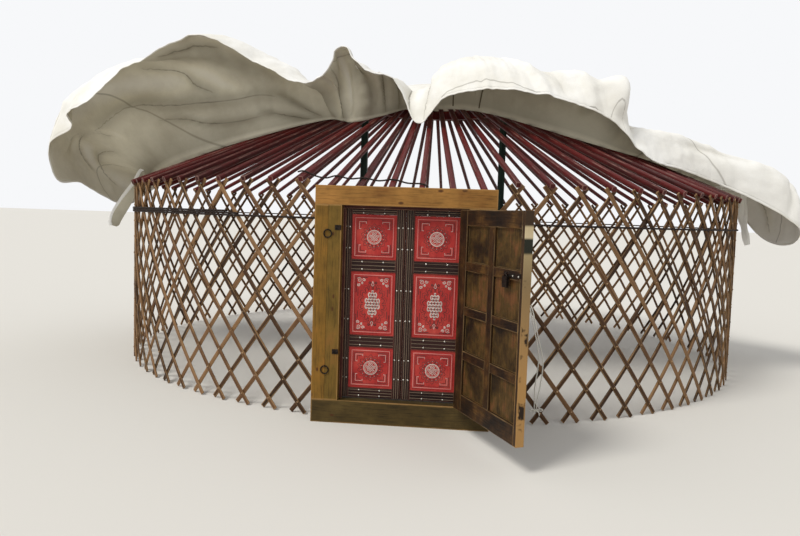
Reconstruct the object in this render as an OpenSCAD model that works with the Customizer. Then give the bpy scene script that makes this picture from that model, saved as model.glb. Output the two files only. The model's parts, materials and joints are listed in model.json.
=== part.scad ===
// Round lattice tent frame with its double door, crown and half-drawn roof cover.
// Origin: middle of the threshold's underside. +X right, +Y into the tent, +Z up.

/* [Wall] */
// Radius of the circle on which the two layers of laths meet
wall_r = 2930; // [2700:10:3200]
// Height of the lattice wall
wall_h = 1600; // [1480:10:1700]
// Crossings in the top row, one for each roof pole of the wall
wall_crossings = 75; // [60:1:90]
// Steps from the top crossing of a lath down to its lowest one
lath_steps = 10; // [8:1:12]
// Part of a step from crossing to crossing that a jamb or a cut stands off the middle
end_step = 0.04; // [0.03:0.01:0.06]
// Height of the lowest row of crossings
foot_row_z = 75; // [45:5:110]
// Rise of the lath heads above the top row of crossings
head_rise = 60; // [45:5:80]
// Width of a lath
lath_w = 30; // [24:1:38]
// Thickness of a lath
lath_t = 12; // [8:1:16]
// Depth by which the laced laths bed into each other
lath_bite = 1; // [0.5:0.1:2]

/* [Roof poles] */
// Width and height of a pole
pole_w = 38; // [32:1:44]
// Chamfer along the four edges of a pole
pole_chamfer = 8; // [5:1:10]
// Length of a pole beyond the outside of the wall
pole_overhang = 25; // [10:5:50]
// Poles that stand on the lintel
door_poles = 6; // [4:1:7]
// Width of the square tongue at the top of a pole
tongue_w = 24; // [18:1:28]
// Length of that tongue
tongue_len = 34; // [20:1:42]

/* [Crown] */
// Outer radius of the crown rim
crown_r = 760; // [700:5:850]
// Height at which the pole axes meet the rim
crown_z = 2525; // [2300:5:2700]
// Radial width of the rim
rim_w = 66; // [55:1:80]
// Height of the rim
rim_h = 92; // [80:2:120]
// Rise of the crown's bows above the rim
bow_rise = 150; // [100:5:200]
// Width of a bow
bow_w = 32; // [26:1:40]
// Depth of a bow
bow_h = 46; // [36:1:60]
// Number of bows that cross the crown
bows = 4; // [3:1:5]
// Radius of the inner ring, at its middle
inner_ring_r = 330; // [250:5:420]

/* [Posts] */
// Distance of a post's axis inside the outer edge of the crown's rim
post_inset = 33; // [30:1:60]
// Side of a post
post_w = 68; // [56:1:84]
// Length of the head block under the rim
post_head_len = 360; // [280:10:460]
// Height of that block
post_head_h = 80; // [60:5:110]
// Side of the foot block
post_foot_w = 120; // [100:5:160]
// Height of the foot block
post_foot_h = 60; // [40:5:90]

/* [Door frame] */
// Width of the frame over the jambs
frame_w = 1167; // [1100:1:1240]
// Height of the frame
frame_h = 1550; // [1480:5:1620]
// Depth of the frame, front to back
frame_depth = 160; // [145:1:190]
// Width of the doorway
doorway_w = 816; // [760:2:860]
// Height of the lintel
lintel_h = 124; // [100:2:150]
// Height of the threshold
threshold_h = 151; // [120:1:180]
// Width of the stop strip inside the doorway
stop_w = 20; // [14:1:26]
// Thickness of the stop strip
stop_t = 18; // [12:1:24]

/* [Inner leaves] */
// Thickness of an inner leaf
inner_t = 35; // [28:1:42]
// Width of the stile at the hinges
inner_hinge_stile = 50; // [40:1:64]
// Width of the stile where the leaves meet
inner_meet_stile = 54; // [44:1:66]
// Height of the bottom rail
inner_bottom_rail = 63; // [50:1:80]
// Height of the two middle rails
inner_mid_rail = 80; // [60:1:90]
// Height of the bottom panel
inner_low_panel_h = 273; // [240:1:300]
// Height of the top panel
inner_top_panel_h = 294; // [260:1:310]
// Height of the top rail
inner_top_rail = 48; // [40:1:70]
// Thickness of a painted panel
inner_panel_t = 16; // [12:1:22]
// Depth of a panel's face behind the face of its frame
inner_panel_sink = 7; // [4:1:10]

/* [Outer leaf] */
// Thickness of the outer leaf
outer_t = 50; // [42:1:58]
// Width of its stile at the hinges
outer_hinge_stile = 104; // [80:1:120]
// Width of its middle stile
outer_mid_stile = 64; // [50:1:80]
// Width of its free stile
outer_free_stile = 34; // [30:1:50]
// Height of its bottom rail
outer_bottom_rail = 110; // [80:1:130]
// Height of its top rail
outer_top_rail = 96; // [70:1:110]
// Height of its three middle rails
outer_rail = 55; // [45:1:70]
// Thickness of its recessed panels
outer_panel_t = 20; // [14:1:26]
// Angle by which the outer leaf stands open
outer_open = 115.5; // [90:0.5:130]

/* [Door iron] */
// Gap between a leaf and the jamb
side_gap = 6; // [5:0.5:9]
// Gap where the two inner leaves meet
meet_gap = 8; // [8:0.5:12]
// Gap above and below a leaf
end_gap = 8; // [6:0.5:12]
// Radius of a hinge pin
pin_r = 6; // [4:0.5:8]
// Wall of a hinge eye
eye_wall = 4; // [3:0.5:6]
// Height of a hinge eye
eye_h = 44; // [34:1:60]
// Height of the bracket that carries a hinge pin
bracket_h = 16; // [12:1:24]
// Thickness of the hinge straps
strap_t = 4; // [3:0.5:6]
// Width of the hinge straps
strap_w = 34; // [26:1:44]
// Length of a strap on an inner leaf
inner_strap_len = 150; // [110:5:220]
// Length of a strap on the outer leaf
outer_strap_len = 260; // [180:5:360]
// Height of the lower hinge above the foot of a leaf
hinge_low = 180; // [120:5:260]
// Height of the upper hinge below the top of a leaf
hinge_high = 190; // [120:5:260]
// Outer radius of a tie ring on the left jamb
ring_r = 29; // [24:1:36]
// Radius of the ring's iron
ring_wire_r = 4; // [3:0.5:5]
// Height of the upper tie ring
ring_high_z = 1240; // [1150:5:1320]
// Height of the lower tie ring
ring_low_z = 350; // [280:5:420]
// Distance of the hasp on the outer leaf from the leaf's free edge
hasp_inset = 21; // [20:1:40]
// Length of the hasp
hasp_len = 180; // [140:5:200]
// Width of the hasp
hasp_w = 24; // [18:1:32]
// Width of its padlock
lock_w = 52; // [40:1:60]
// Height of the padlock's body
lock_h = 60; // [45:1:70]

/* [Ropes] */
// Height of the rope round the wall
girth_z = 1335; // [1250:5:1400]
// Radius of that rope
girth_rope_r = 7; // [5:0.5:10]
// Radius of the rope laid over the feet of the door poles
lintel_rope_r = 5.5; // [4:0.5:7]
// Radius of the white tie rope that hangs by the door
tie_rope_r = 4; // [4:0.5:5]

/* [Roof cover] */
// Thickness of the cover, with its folded felt
cover_t = 9; // [6:1:14]
// Clearance between the cover and the poles
cover_seat = 1.2; // [1:0.1:2]

/* [Fits] */
// Clearance between pieces that rest on each other
seat = 0.3; // [0.2:0.05:0.6]
// Clearance between a hinge pin and its eye
pin_play = 0.3; // [0.2:0.05:0.6]

/* [Hidden] */
SEGMENTS = 15;
POLE_GROUPS = 5;
eps = 1;
ARC_FN = 360;

// Wall
wall_start = asin((frame_w / 2 + seat) / (wall_r - lath_t));
wall_span = 360 - 2 * wall_start;
pitch = wall_span / (wall_crossings + 2 * end_step);
half_step = wall_r * pitch / 2 * PI / 180;
row_h = (wall_h - head_rise - foot_row_z) / lath_steps;
lath_slope = atan(row_h / half_step);
lath_mid_z = wall_h / 2;
lath_len = 2 * (lath_mid_z - lath_w / 2 * cos(lath_slope)) / sin(lath_slope);
lath_reach = asin(lath_len / 2 * cos(lath_slope) / wall_r);
// Angle from a lath's top crossing to its middle
lath_offset = (wall_h - head_rise - lath_mid_z) / row_h * pitch / 2;
top_cross_z = lath_mid_z + wall_r * tan(lath_slope) * sin(lath_offset);
outer_r = wall_r + lath_t;
inner_r = wall_r - lath_t;

// Roof: a pole rests on the edges of the two laths that cross below it
crotch_slope = atan(tan(lath_slope) * cos(lath_offset));
crotch_z = top_cross_z + lath_t * tan(lath_slope) * sin(lath_offset) + lath_w / 2 / cos(lath_slope);
pole_flat = pole_w / 2 - pole_chamfer;
// The pole's slope changes its upright section by little, so a first slope is enough here
pole_lean = cos(atan((crown_z - crotch_z - pole_w) / (outer_r - crown_r)));
wall_seat_z = crotch_z + seat / cos(crotch_slope) + max(
    tan(crotch_slope) * pole_w / 2 + pole_flat / pole_lean,
    tan(crotch_slope) * pole_flat + pole_w / 2 / pole_lean);
wall_pole_rise = atan((crown_z - wall_seat_z) / (outer_r - crown_r));
door_pitch = 2 * wall_start / door_poles;
lintel_top = frame_h;
function door_pole_foot_r(a) = wall_r / cos(a);
function door_pole_rise(a) = atan((crown_z - lintel_top - seat) / (door_pole_foot_r(a) - crown_r));
function wall_angle(i) = wall_start + (i + 0.5 + end_step) * pitch;
function door_angle(i) = (i + 0.5) * door_pitch - wall_start;

// Crown
rim_in_r = crown_r - rim_w;
rim_top = crown_z + rim_h / 2;
rim_bottom = crown_z - rim_h / 2;
bow_r = (pow(rim_in_r, 2) + pow(bow_rise, 2)) / (2 * bow_rise);
bow_top = rim_top + bow_rise;
boss_r = 1.6 * bow_h;
post_x = crown_r - post_inset;
post_top = rim_bottom - seat;

// Door
front_y = -frame_depth / 2;
half_doorway = doorway_w / 2;
doorway_top = frame_h - lintel_h;
leaf_foot = threshold_h + end_gap;
leaf_top = doorway_top - end_gap;
leaf_h = leaf_top - leaf_foot;
outer_w = doorway_w - 2 * side_gap;
inner_w = (outer_w - meet_gap) / 2;
inner_mid_panel_h = leaf_h - inner_bottom_rail - inner_low_panel_h - inner_top_panel_h
    - 2 * inner_mid_rail - inner_top_rail;
eye_r = pin_r + pin_play + eye_wall;
stop_y = front_y + outer_t + side_gap;
inner_y = stop_y + stop_t + side_gap;
inner_back_y = inner_y + inner_t;
inner_pin_y = inner_back_y + seat + eye_r;
inner_pin_x = half_doorway - eye_r - 2;
outer_pin_x = half_doorway - 2;
outer_pin_y = front_y - eye_r - 2;

// Smooth curve through four values, at the fraction t between the second and the third
function smooth(p, q, r, s, t) =
    q + t / 2 * (r - p + t * (2 * p - 5 * q + 4 * r - s + t * (3 * (q - r) + s - p)));

module on_ring() {
    translate([0, wall_r, 0]) children();
}

// Turns +X to the direction at angle a from the door, which grows to the right
module turn(a) {
    rotate([0, 0, a - 90]) children();
}

// Lattice wall

// One lath of a layer between the radii r0 and r1, inside the angles a0 to a1 from +X
module lath(mid, slope, r0, r1, a0, a1) {
    intersection() {
        rotate([0, 0, a0]) rotate_extrude(angle = a1 - a0, $fn = ARC_FN)
            translate([r0, 0]) square([r1 - r0, wall_h]);
        rotate([0, 0, mid]) translate([wall_r, 0, lath_mid_z]) rotate([slope, 0, 0])
            cube([wall_r / 4, lath_len, lath_w], center = true);
    }
}

// Laths of both layers, fused where they are laced together. A segment faces +X until
// it is turned into place, and is cut where the laths' heads are clear.
module wall_lattice(k) {
    steps = wall_crossings / SEGMENTS;
    clear = seat / 2 / wall_r * 180 / PI;
    a0 = -(steps / 2 + (k == 0 ? end_step : -end_step)) * pitch + clear;
    a1 = (steps / 2 + end_step) * pitch - clear;
    spare = ceil(2 * lath_reach / pitch);
    color("peru") on_ring() turn(wall_angle((k + 0.5) * steps - 0.5)) union() {
        for (i = [-spare : steps + spare - 1]) {
            crossing = (i - (steps - 1) / 2) * pitch;
            inner_mid = crossing - lath_offset;
            outer_mid = crossing + lath_offset;
            if (inner_mid + lath_reach > a0 && inner_mid - lath_reach < a1)
                lath(inner_mid, lath_slope, inner_r, wall_r + lath_bite / 2, a0, a1);
            if (outer_mid + lath_reach > a0 && outer_mid - lath_reach < a1)
                lath(outer_mid, -lath_slope, wall_r - lath_bite / 2, outer_r, a0, a1);
        }
    }
}

// Roof poles

module pole_section() {
    a = pole_w / 2;
    polygon([[-a, -pole_flat], [-pole_flat, -a], [pole_flat, -a], [a, -pole_flat],
             [a, pole_flat], [pole_flat, a], [-pole_flat, a], [-a, pole_flat]]);
}

// Pole whose axis passes through the foot radius and height and ends at the rim
module roof_pole(foot_r, foot_z, rise, overhang) {
    run = (foot_r - crown_r) / cos(rise);
    shoulder = pole_w / 2 * tan(rise) + seat;
    translate([foot_r, 0, foot_z]) rotate([0, rise - 90, 0]) {
        translate([0, 0, -overhang]) linear_extrude(run + overhang - shoulder) pole_section();
        translate([0, 0, run - shoulder - eps]) linear_extrude(shoulder + tongue_len + eps)
            square(tongue_w, center = true);
    }
}

module wall_poles(k) {
    color("firebrick") on_ring()
        for (i = [0 : wall_crossings - 1])
            if (floor(i * POLE_GROUPS / wall_crossings) == k)
                turn(wall_angle(i)) roof_pole(outer_r, wall_seat_z, wall_pole_rise, pole_overhang);
}

// Poles over the door, cut level where they stand on the lintel
module door_pole(a) {
    difference() {
        roof_pole(door_pole_foot_r(a), lintel_top + seat, door_pole_rise(a), frame_depth);
        translate([wall_r - frame_depth, -pole_w, lintel_top + seat - wall_h])
            cube([3 * frame_depth, 2 * pole_w, wall_h]);
    }
}

module roof_poles_door() {
    color("firebrick") on_ring()
        for (i = [0 : door_poles - 1])
            turn(door_angle(i)) door_pole(door_angle(i));
}

// Crown

module mortise(rise) {
    translate([crown_r, 0, crown_z]) rotate([0, rise - 90, 0])
        translate([0, 0, -rim_w / 2]) linear_extrude(rim_w / 2 + tongue_len + 2)
            square(tongue_w + 2 * seat, center = true);
}

module crown_rim() {
    color("darkred") on_ring() difference() {
        rotate_extrude($fn = ARC_FN) translate([rim_in_r, rim_bottom]) square([rim_w, rim_h]);
        for (i = [0 : wall_crossings - 1]) turn(wall_angle(i)) mortise(wall_pole_rise);
        for (i = [0 : door_poles - 1]) turn(door_angle(i)) mortise(door_pole_rise(door_angle(i)));
    }
}

// Bows bent over the crown, with the inner ring and the boss that they pass through
module crown_bows() {
    bow_half = asin(rim_in_r / bow_r) + 2;
    color("darkred") on_ring() intersection() {
        union() {
            for (i = [0 : bows - 1])
                rotate([0, 0, (i + 0.5) * 180 / bows]) translate([0, bow_w / 2, bow_top - bow_r])
                    rotate([90, 0, 0]) rotate([0, 0, 90 - bow_half]) linear_extrude(bow_w)
                        bow_arc(2 * bow_half);
            translate([0, 0, bow_at(inner_ring_r) - bow_h * 0.8]) rotate_extrude($fn = ARC_FN)
                translate([inner_ring_r - bow_w / 2, 0]) square([bow_w, bow_h * 0.6]);
            translate([0, 0, bow_top - bow_h]) cylinder(r = boss_r, h = bow_h, $fn = 96);
        }
        cylinder(r = rim_in_r - seat, h = 2 * crown_z, $fn = ARC_FN);
    }
}

// Height of a bow's top at a distance from the middle
function bow_at(x) = bow_top - bow_r + sqrt(pow(bow_r, 2) - pow(x, 2));

module bow_arc(angle) {
    difference() {
        circle(r = bow_r, $fn = ARC_FN);
        circle(r = bow_r - bow_h, $fn = ARC_FN);
        rotate([0, 0, angle]) translate([-2 * bow_r, 0]) square([4 * bow_r, 2 * bow_r]);
        translate([-2 * bow_r, -2 * bow_r]) square([4 * bow_r, 2 * bow_r]);
    }
}

// Posts

module crown_post() {
    translate([-post_foot_w / 2, -post_foot_w / 2, 0]) cube([post_foot_w, post_foot_w, post_foot_h]);
    translate([-post_w / 2, -post_w / 2, post_foot_h - eps])
        cube([post_w, post_w, post_top - post_head_h - post_foot_h + 2 * eps]);
    translate([post_w / 2, 0, post_top - post_head_h]) rotate([90, 0, -90]) linear_extrude(post_w)
        polygon([[-post_head_len / 2, post_head_h], [-post_head_len / 2, post_head_h * 0.55],
                 [-post_w, 0], [post_w, 0],
                 [post_head_len / 2, post_head_h * 0.55], [post_head_len / 2, post_head_h]]);
}

module crown_posts() {
    color("darkslategray") on_ring()
        for (side = [-1, 1]) translate([side * post_x, 0, 0]) crown_post();
}

// Door frame

module threshold() {
    color("goldenrod") translate([-frame_w / 2, front_y, 0])
        cube([frame_w, frame_depth, threshold_h]);
}

module jamb(side) {
    width = frame_w / 2 - half_doorway;
    color("darkgoldenrod") translate([side > 0 ? half_doorway : -frame_w / 2, front_y, threshold_h + seat])
        cube([width, frame_depth, doorway_top - threshold_h - 2 * seat]);
}

module lintel() {
    color("orange") translate([-frame_w / 2, front_y, doorway_top])
        cube([frame_w, frame_depth, lintel_h]);
}

// Strips that stop the leaves, nailed inside the doorway: one up each jamb, one under the lintel
module door_stop() {
    foot = threshold_h + seat;
    side_h = doorway_top - stop_w - seat - foot;
    color("maroon") {
        for (x = [-half_doorway + seat, half_doorway - seat - stop_w])
            translate([x, stop_y, foot]) cube([stop_w, stop_t, side_h]);
        translate([-half_doorway + seat, stop_y, doorway_top - seat - stop_w + seat])
            cube([doorway_w - 2 * seat, stop_t, stop_w - seat]);
    }
}

// Inner leaves, drawn as the left one: hinge edge at x = 0, foot at z = 0, face at y = 0

inner_panel_w = inner_w - inner_hinge_stile - inner_meet_stile;
inner_panels = [
    [inner_bottom_rail, inner_low_panel_h],
    [inner_bottom_rail + inner_low_panel_h + inner_mid_rail, inner_mid_panel_h],
    [inner_bottom_rail + inner_low_panel_h + inner_mid_panel_h + 2 * inner_mid_rail, inner_top_panel_h]];

module inner_frame() {
    translate([0, inner_t, 0]) rotate([90, 0, 0]) linear_extrude(inner_t) difference() {
        square([inner_w, leaf_h]);
        for (p = inner_panels) translate([inner_hinge_stile, p[0]]) square([inner_panel_w, p[1]]);
    }
}

module inner_panel_set() {
    field = 14;
    lift = 3;
    for (p = inner_panels) translate([inner_hinge_stile, 0, p[0]]) {
        translate([seat, inner_panel_sink, seat])
            cube([inner_panel_w - 2 * seat, inner_panel_t, p[1] - 2 * seat]);
        translate([field, inner_panel_sink - lift, field])
            cube([inner_panel_w - 2 * field, lift + eps, p[1] - 2 * field]);
    }
}

hinge_heights = [hinge_low, leaf_h - hinge_high];

// Strap on the back of the leaf with the eye that turns on the jamb's pin
module inner_hinge_set() {
    pin_x = half_doorway - side_gap - inner_pin_x;
    for (h = hinge_heights) translate([0, inner_t, h]) {
        difference() {
            union() {
                translate([seat, seat, -strap_w / 2]) cube([inner_strap_len, strap_t, strap_w]);
                translate([pin_x, inner_pin_y - inner_back_y, -eye_h / 2])
                    cylinder(r = eye_r, h = eye_h, $fn = 64);
            }
            translate([pin_x, inner_pin_y - inner_back_y, -eye_h / 2 - eps])
                cylinder(r = pin_r + pin_play, h = eye_h + 2 * eps, $fn = 64);
        }
    }
}

module place_inner(side) {
    mirror([side > 0 ? 1 : 0, 0, 0])
        translate([-half_doorway + side_gap, inner_y, leaf_foot]) children();
}

// Outer leaf, drawn closed: hinge edge at x = 0 growing to the left, and turned about its pin

outer_panel_w = (outer_w - outer_hinge_stile - outer_mid_stile - outer_free_stile) / 2;
outer_rows = 4;
outer_panel_h = (leaf_h - outer_bottom_rail - outer_top_rail - (outer_rows - 1) * outer_rail) / outer_rows;

module place_outer() {
    translate([outer_pin_x, outer_pin_y, leaf_foot]) rotate([0, 0, outer_open])
        translate([half_doorway - side_gap - outer_pin_x, front_y - outer_pin_y, 0]) children();
}

module each_outer_panel() {
    for (col = [0, 1], row = [0 : outer_rows - 1])
        translate([-outer_hinge_stile - outer_panel_w - col * (outer_panel_w + outer_mid_stile), 0,
                   outer_bottom_rail + row * (outer_panel_h + outer_rail)]) children();
}

module outer_frame() {
    difference() {
        translate([-outer_w, 0, 0]) cube([outer_w, outer_t, leaf_h]);
        each_outer_panel() translate([0, -eps, 0]) cube([outer_panel_w, outer_t + 2 * eps, outer_panel_h]);
    }
}

module outer_panel_set() {
    each_outer_panel() translate([seat, (outer_t - outer_panel_t) / 2, seat])
        cube([outer_panel_w - 2 * seat, outer_panel_t, outer_panel_h - 2 * seat]);
}

module outer_hinge_set() {
    pin_x = outer_pin_x - half_doorway + side_gap;
    pin_y = outer_pin_y - front_y;
    for (h = hinge_heights) translate([0, 0, h]) difference() {
        union() {
            translate([-outer_strap_len, -strap_t - seat, -strap_w / 2])
                cube([outer_strap_len - seat, strap_t, strap_w]);
            translate([pin_x, pin_y, -eye_h / 2]) cylinder(r = eye_r, h = eye_h, $fn = 64);
        }
        translate([pin_x, pin_y, -eye_h / 2 - eps])
            cylinder(r = pin_r + pin_play, h = eye_h + 2 * eps, $fn = 64);
    }
}

// Hasp on the rail under the top panels, with the padlock that hangs from its staple
module outer_hasp() {
    rail_z = leaf_h - outer_top_rail - outer_panel_h - outer_rail / 2;
    staple_r = 9;
    shackle_r = 15;
    wire_r = 3.5;
    lock_t = 14;
    translate([-outer_w + hasp_inset, outer_t + seat, rail_z]) {
        translate([0, 0, -hasp_w / 2]) cube([hasp_len, strap_t, hasp_w]);
        translate([hasp_len - lock_w / 2 - 8, strap_t, 0]) {
            translate([0, -eps, 0]) rotate([0, 90, 0]) rotate_extrude(angle = 180, $fn = 64)
                translate([staple_r, 0]) circle(r = wire_r, $fn = 32);
            translate([0, staple_r, -shackle_r]) {
                rotate([90, 0, 0]) rotate_extrude(angle = 180, $fn = 64)
                    translate([shackle_r, 0]) circle(r = wire_r, $fn = 32);
                translate([-lock_w / 2, -lock_t / 2, 3 - lock_h]) cube([lock_w, lock_t, lock_h]);
            }
        }
    }
}

// Iron on the frame

// Bracket on the jamb, with the pin that stands up through a leaf's eye; the root is
// the block from the pin to the wood, as its corner from the pin and its size
module pin_bracket(pin_x, pin_y, root, root_size) {
    pin_tip = 6;
    translate([pin_x, pin_y, -eye_h / 2 - seat - bracket_h]) {
        cylinder(r = pin_r, h = bracket_h + eye_h + pin_tip, $fn = 64);
        cylinder(r = eye_r, h = bracket_h, $fn = 64);
        translate([root[0], root[1], 0]) cube([root_size[0], root_size[1], bracket_h]);
    }
}

module hinge_pins() {
    color("dimgray") for (h = hinge_heights) translate([0, 0, leaf_foot + h]) {
        for (side = [0, 1]) mirror([side, 0, 0])
            pin_bracket(inner_pin_x, inner_pin_y, [0, -eye_r],
                [half_doorway - seat - inner_pin_x, 2 * eye_r]);
        pin_bracket(outer_pin_x, outer_pin_y, [0, 0], [2 * eye_r, front_y - seat - outer_pin_y]);
    }
}

// Tie rings on the face of the left jamb, each held by a staple
module tie_ring() {
    staple_r = 5;
    staple_out = 12;
    rotate([90, 0, 0]) rotate_extrude($fn = 96) translate([ring_r - ring_wire_r, 0])
        circle(r = ring_wire_r, $fn = 32);
    translate([0, ring_wire_r, ring_r - ring_wire_r]) rotate([90, 0, 0])
        cylinder(r = staple_r, h = staple_out, $fn = 48);
}

module jamb_rings() {
    jamb_x = -(frame_w / 2 + half_doorway) / 2;
    color("dimgray") for (z = [ring_high_z, ring_low_z])
        translate([jamb_x, front_y - ring_wire_r - seat, z]) tie_ring();
}

// Ropes

// Routes over the feet of the door poles and down the outside of the wall from a crossing:
// angle from the door, distance out from the middle of the wall, and height above the lintel
// or above the ground
LINTEL_ROPE = [
    [-14.9, -18, 90.6], [-13.96, -22, 95.2], [-12.4, -40, 64], [-11, -46, 54],
    [-9.6, -50, 69], [-7.7, -44, 51], [-5.8, -50, 58], [-3.85, -44, 42],
    [-1.9, -50, 52.4], [0, -34, 31], [1.9, 6, 27], [2.7, 20, 6]];
TIE_ROPES = [
    [[16.1, 12.4, 806], [16.14, 23, 803], [16.24, 29, 786], [16.5, 30, 738],
     [16.95, 28, 650], [17.5, 27, 540], [17.75, 26, 455], [17.65, 25, 370],
     [17.4, 26, 260], [17.42, 28, 180], [17.45, 28, 118]],
    [[16.35, 12.4, 806], [16.4, 23, 802], [16.52, 29, 784], [16.8, 30, 738],
     [17.25, 28, 650], [17.85, 27, 540], [18.3, 26, 455], [18.35, 25, 370],
     [18.1, 26, 260], [17.8, 28, 180], [17.75, 28, 118]]];

function along(route, t) = let (i = min(floor(t), len(route) - 2), n = len(route) - 1)
    [for (c = [0 : 2]) smooth(route[max(i - 1, 0)][c], route[i][c], route[i + 1][c],
        route[min(i + 2, n)][c], t - i)];
function on_wall(p) = let (r = wall_r + p[1]) [r * sin(p[0]), wall_r - r * cos(p[0]), p[2]];
function unit(v) = v / norm(v);
function tube_ring(p, ahead, r, side) = let (u = unit(cross(ahead, side)), v = unit(cross(u, ahead)))
    [for (k = [0 : 7]) p + r * (cos(45 * k) * u + sin(45 * k) * v)];

// Round tube along a route, with the ends square to the two given directions
module rope_tube(route, r, rings, first, last, side) {
    line = [for (k = [0 : rings]) on_wall(along(route, (len(route) - 1) * k / rings))];
    points = [for (k = [0 : rings]) each tube_ring(line[k],
        k == 0 ? first : k == rings ? last : unit(line[k + 1] - line[k - 1]), r, side)];
    polyhedron(points, concat([[for (j = [7 : -1 : 0]) j], [for (j = [0 : 7]) 8 * rings + j]],
        [for (k = [0 : rings - 1], j = [0 : 7]) let (a = 8 * k + j, b = 8 * k + (j + 1) % 8)
            each [[a, b, a + 8], [b, b + 8, a + 8]]]));
}

// Rope round the wall from jamb to jamb, and the one over the feet of the door poles
module hair_ropes() {
    rope_r = outer_r + seat + girth_rope_r;
    rope_start = asin((frame_w / 2 + seat) / (rope_r - girth_rope_r));
    color("saddlebrown") {
        on_ring() turn(rope_start) rotate_extrude(angle = 360 - 2 * rope_start, $fn = 240)
            translate([rope_r, girth_z]) circle(r = girth_rope_r, $fn = 24);
        translate([0, 0, lintel_top])
            rope_tube(LINTEL_ROPE, lintel_rope_r, 40, [1, 0, 0], [1, 0, 0], [0, 0, 1]);
    }
}

// Two ends of one tie rope, from the lath that it is tied to down to its bow
module tie_rope() {
    angle = TIE_ROPES[0][0][0];
    color("white") for (route = TIE_ROPES)
        rope_tube(route, tie_rope_r, 36, [sin(angle), -cos(angle), 0], [0, 0, -1],
            [cos(angle), sin(angle), 0]);
}

// Knot and two loops under the ends of the tie rope
module tie_rope_bow() {
    end = len(TIE_ROPES[0]) - 1;
    bow_at = (TIE_ROPES[0][end] + TIE_ROPES[1][end]) / 2;
    knot_h = 22;
    knot_r = 14;
    loop_r = 20;
    color("white") translate(on_wall(bow_at) - [0, 0, seat + knot_h]) rotate([0, 0, bow_at[0]]) {
        cylinder(r = knot_r, h = knot_h, $fn = 48);
        for (side = [-1, 1]) translate([side * (knot_r + loop_r), 0, knot_h / 2])
            rotate([90, 0, 0]) rotate_extrude($fn = 64)
                translate([loop_r, 0]) circle(r = tie_rope_r, $fn = 24);
    }
}

// Roof cover: a sheet drawn across the crown from side to side, whose front edge the wind
// lifts. Each row: angle from the door, radius where it leaves the poles, then radius and
// height of the point that shapes the free flap and of the flap's edge.
COVER = [
    [-180, 860, 880, 2498, 900, 2492],
    [-150, 860, 880, 2498, 900, 2492],
    [-125, 860, 890, 2496, 920, 2486],
    [-110, 1000, 1060, 2430, 1120, 2405],
    [-101, 1700, 1780, 2140, 1860, 2100],
    [ -93, 2700, 2900, 1800, 3000, 1640],
    [ -86, 2880, 3600, 1900, 3280, 1400],
    [ -78, 2800, 3850, 2250, 3560, 1640],
    [ -70, 2640, 3500, 2700, 3740, 2040],
    [ -62, 2450, 2900, 2900, 3300, 2500],
    [ -54, 2200, 2360, 2940, 2960, 2590],
    [ -46, 1980, 1980, 2860, 2600, 2770],
    [ -38, 1760, 1740, 2700, 2230, 2590],
    [ -30, 1640, 1640, 2520, 2100, 2430],
    [ -24, 1700, 1700, 2500, 2020, 2460],
    [ -19, 1760, 1720, 2700, 1960, 2680],
    [ -13, 1600, 1560, 2600, 1960, 2500],
    [  -7, 1400, 1420, 2560, 1800, 2460],
    [  -1, 1400, 1560, 2640, 1840, 2110],
    [   5, 1380, 1480, 2900, 1900, 2300],
    [  14, 1360, 1500, 3060, 1960, 2370],
    [  24, 1460, 1600, 2980, 2060, 2360],
    [  34, 1720, 1860, 2920, 2160, 2290],
    [  42, 1980, 2100, 2860, 2280, 2170],
    [  50, 2160, 2260, 2420, 2420, 1900],
    [  57, 2250, 2480, 2330, 2560, 1830],
    [  66, 2400, 2860, 2280, 2860, 1700],
    [  76, 2600, 3480, 2140, 3460, 1440],
    [  86, 2700, 3500, 1860, 3300, 1380],
    [  93, 2600, 2880, 1780, 2980, 1640],
    [ 101, 1700, 1780, 2140, 1860, 2100],
    [ 110, 1000, 1060, 2430, 1120, 2405],
    [ 125, 860, 890, 2496, 920, 2486],
    [ 150, 860, 880, 2498, 900, 2492]];
COVER_SIDES = 90;
BOW_RINGS = 6;
ROOF_RINGS = 4;
FLAP_RINGS = 7;

function cover_at(i) = COVER[(i + len(COVER)) % len(COVER)];
function row_angle(i) = cover_at(i)[0] + 360 * floor(i / len(COVER));
function cover_row(a, i = 0) = a < row_angle(i + 1) ?
    let (t = (a - row_angle(i)) / (row_angle(i + 1) - row_angle(i)))
        [for (c = [1 : 5])
            smooth(cover_at(i - 1)[c], cover_at(i)[c], cover_at(i + 1)[c], cover_at(i + 2)[c], t)]
    : cover_row(a, i + 1);

// Height of the cover's underside on the poles, which lies on the flatter ones
roof_rise = min(wall_pole_rise, door_pole_rise(door_angle(0)));
function on_poles(r) = crown_z - (r - crown_r) * tan(roof_rise) + pole_w / 2 / cos(roof_rise) + cover_seat;
// Underside over the crown: radius and height, from the middle out
over_crown = concat(
    [[1, bow_top + 2 * cover_seat], [boss_r + 4, bow_top + 2 * cover_seat]],
    [for (j = [1 : BOW_RINGS - 1]) let (r = rim_in_r * j / BOW_RINGS) [r, bow_at(r) + 2 * cover_seat]],
    [[rim_in_r, rim_top + 2 * cover_seat], [crown_r + 3, rim_top + 2 * cover_seat],
     [crown_r + rim_w, on_poles(crown_r + rim_w) + 2]]);
function bezier(p, q, r, t) = (1 - t) * (1 - t) * p + 2 * t * (1 - t) * q + t * t * r;
function cover_profile(a) = let (c = cover_row(a), r0 = crown_r + rim_w, lift = [c[0], on_poles(c[0])])
    concat(over_crown,
        [for (j = [1 : ROOF_RINGS]) let (r = r0 + (c[0] - r0) * j / ROOF_RINGS) [r, on_poles(r)]],
        [for (j = [1 : FLAP_RINGS]) bezier(lift, [c[1], c[2]], [c[3], c[4]], j / FLAP_RINGS)]);
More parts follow.
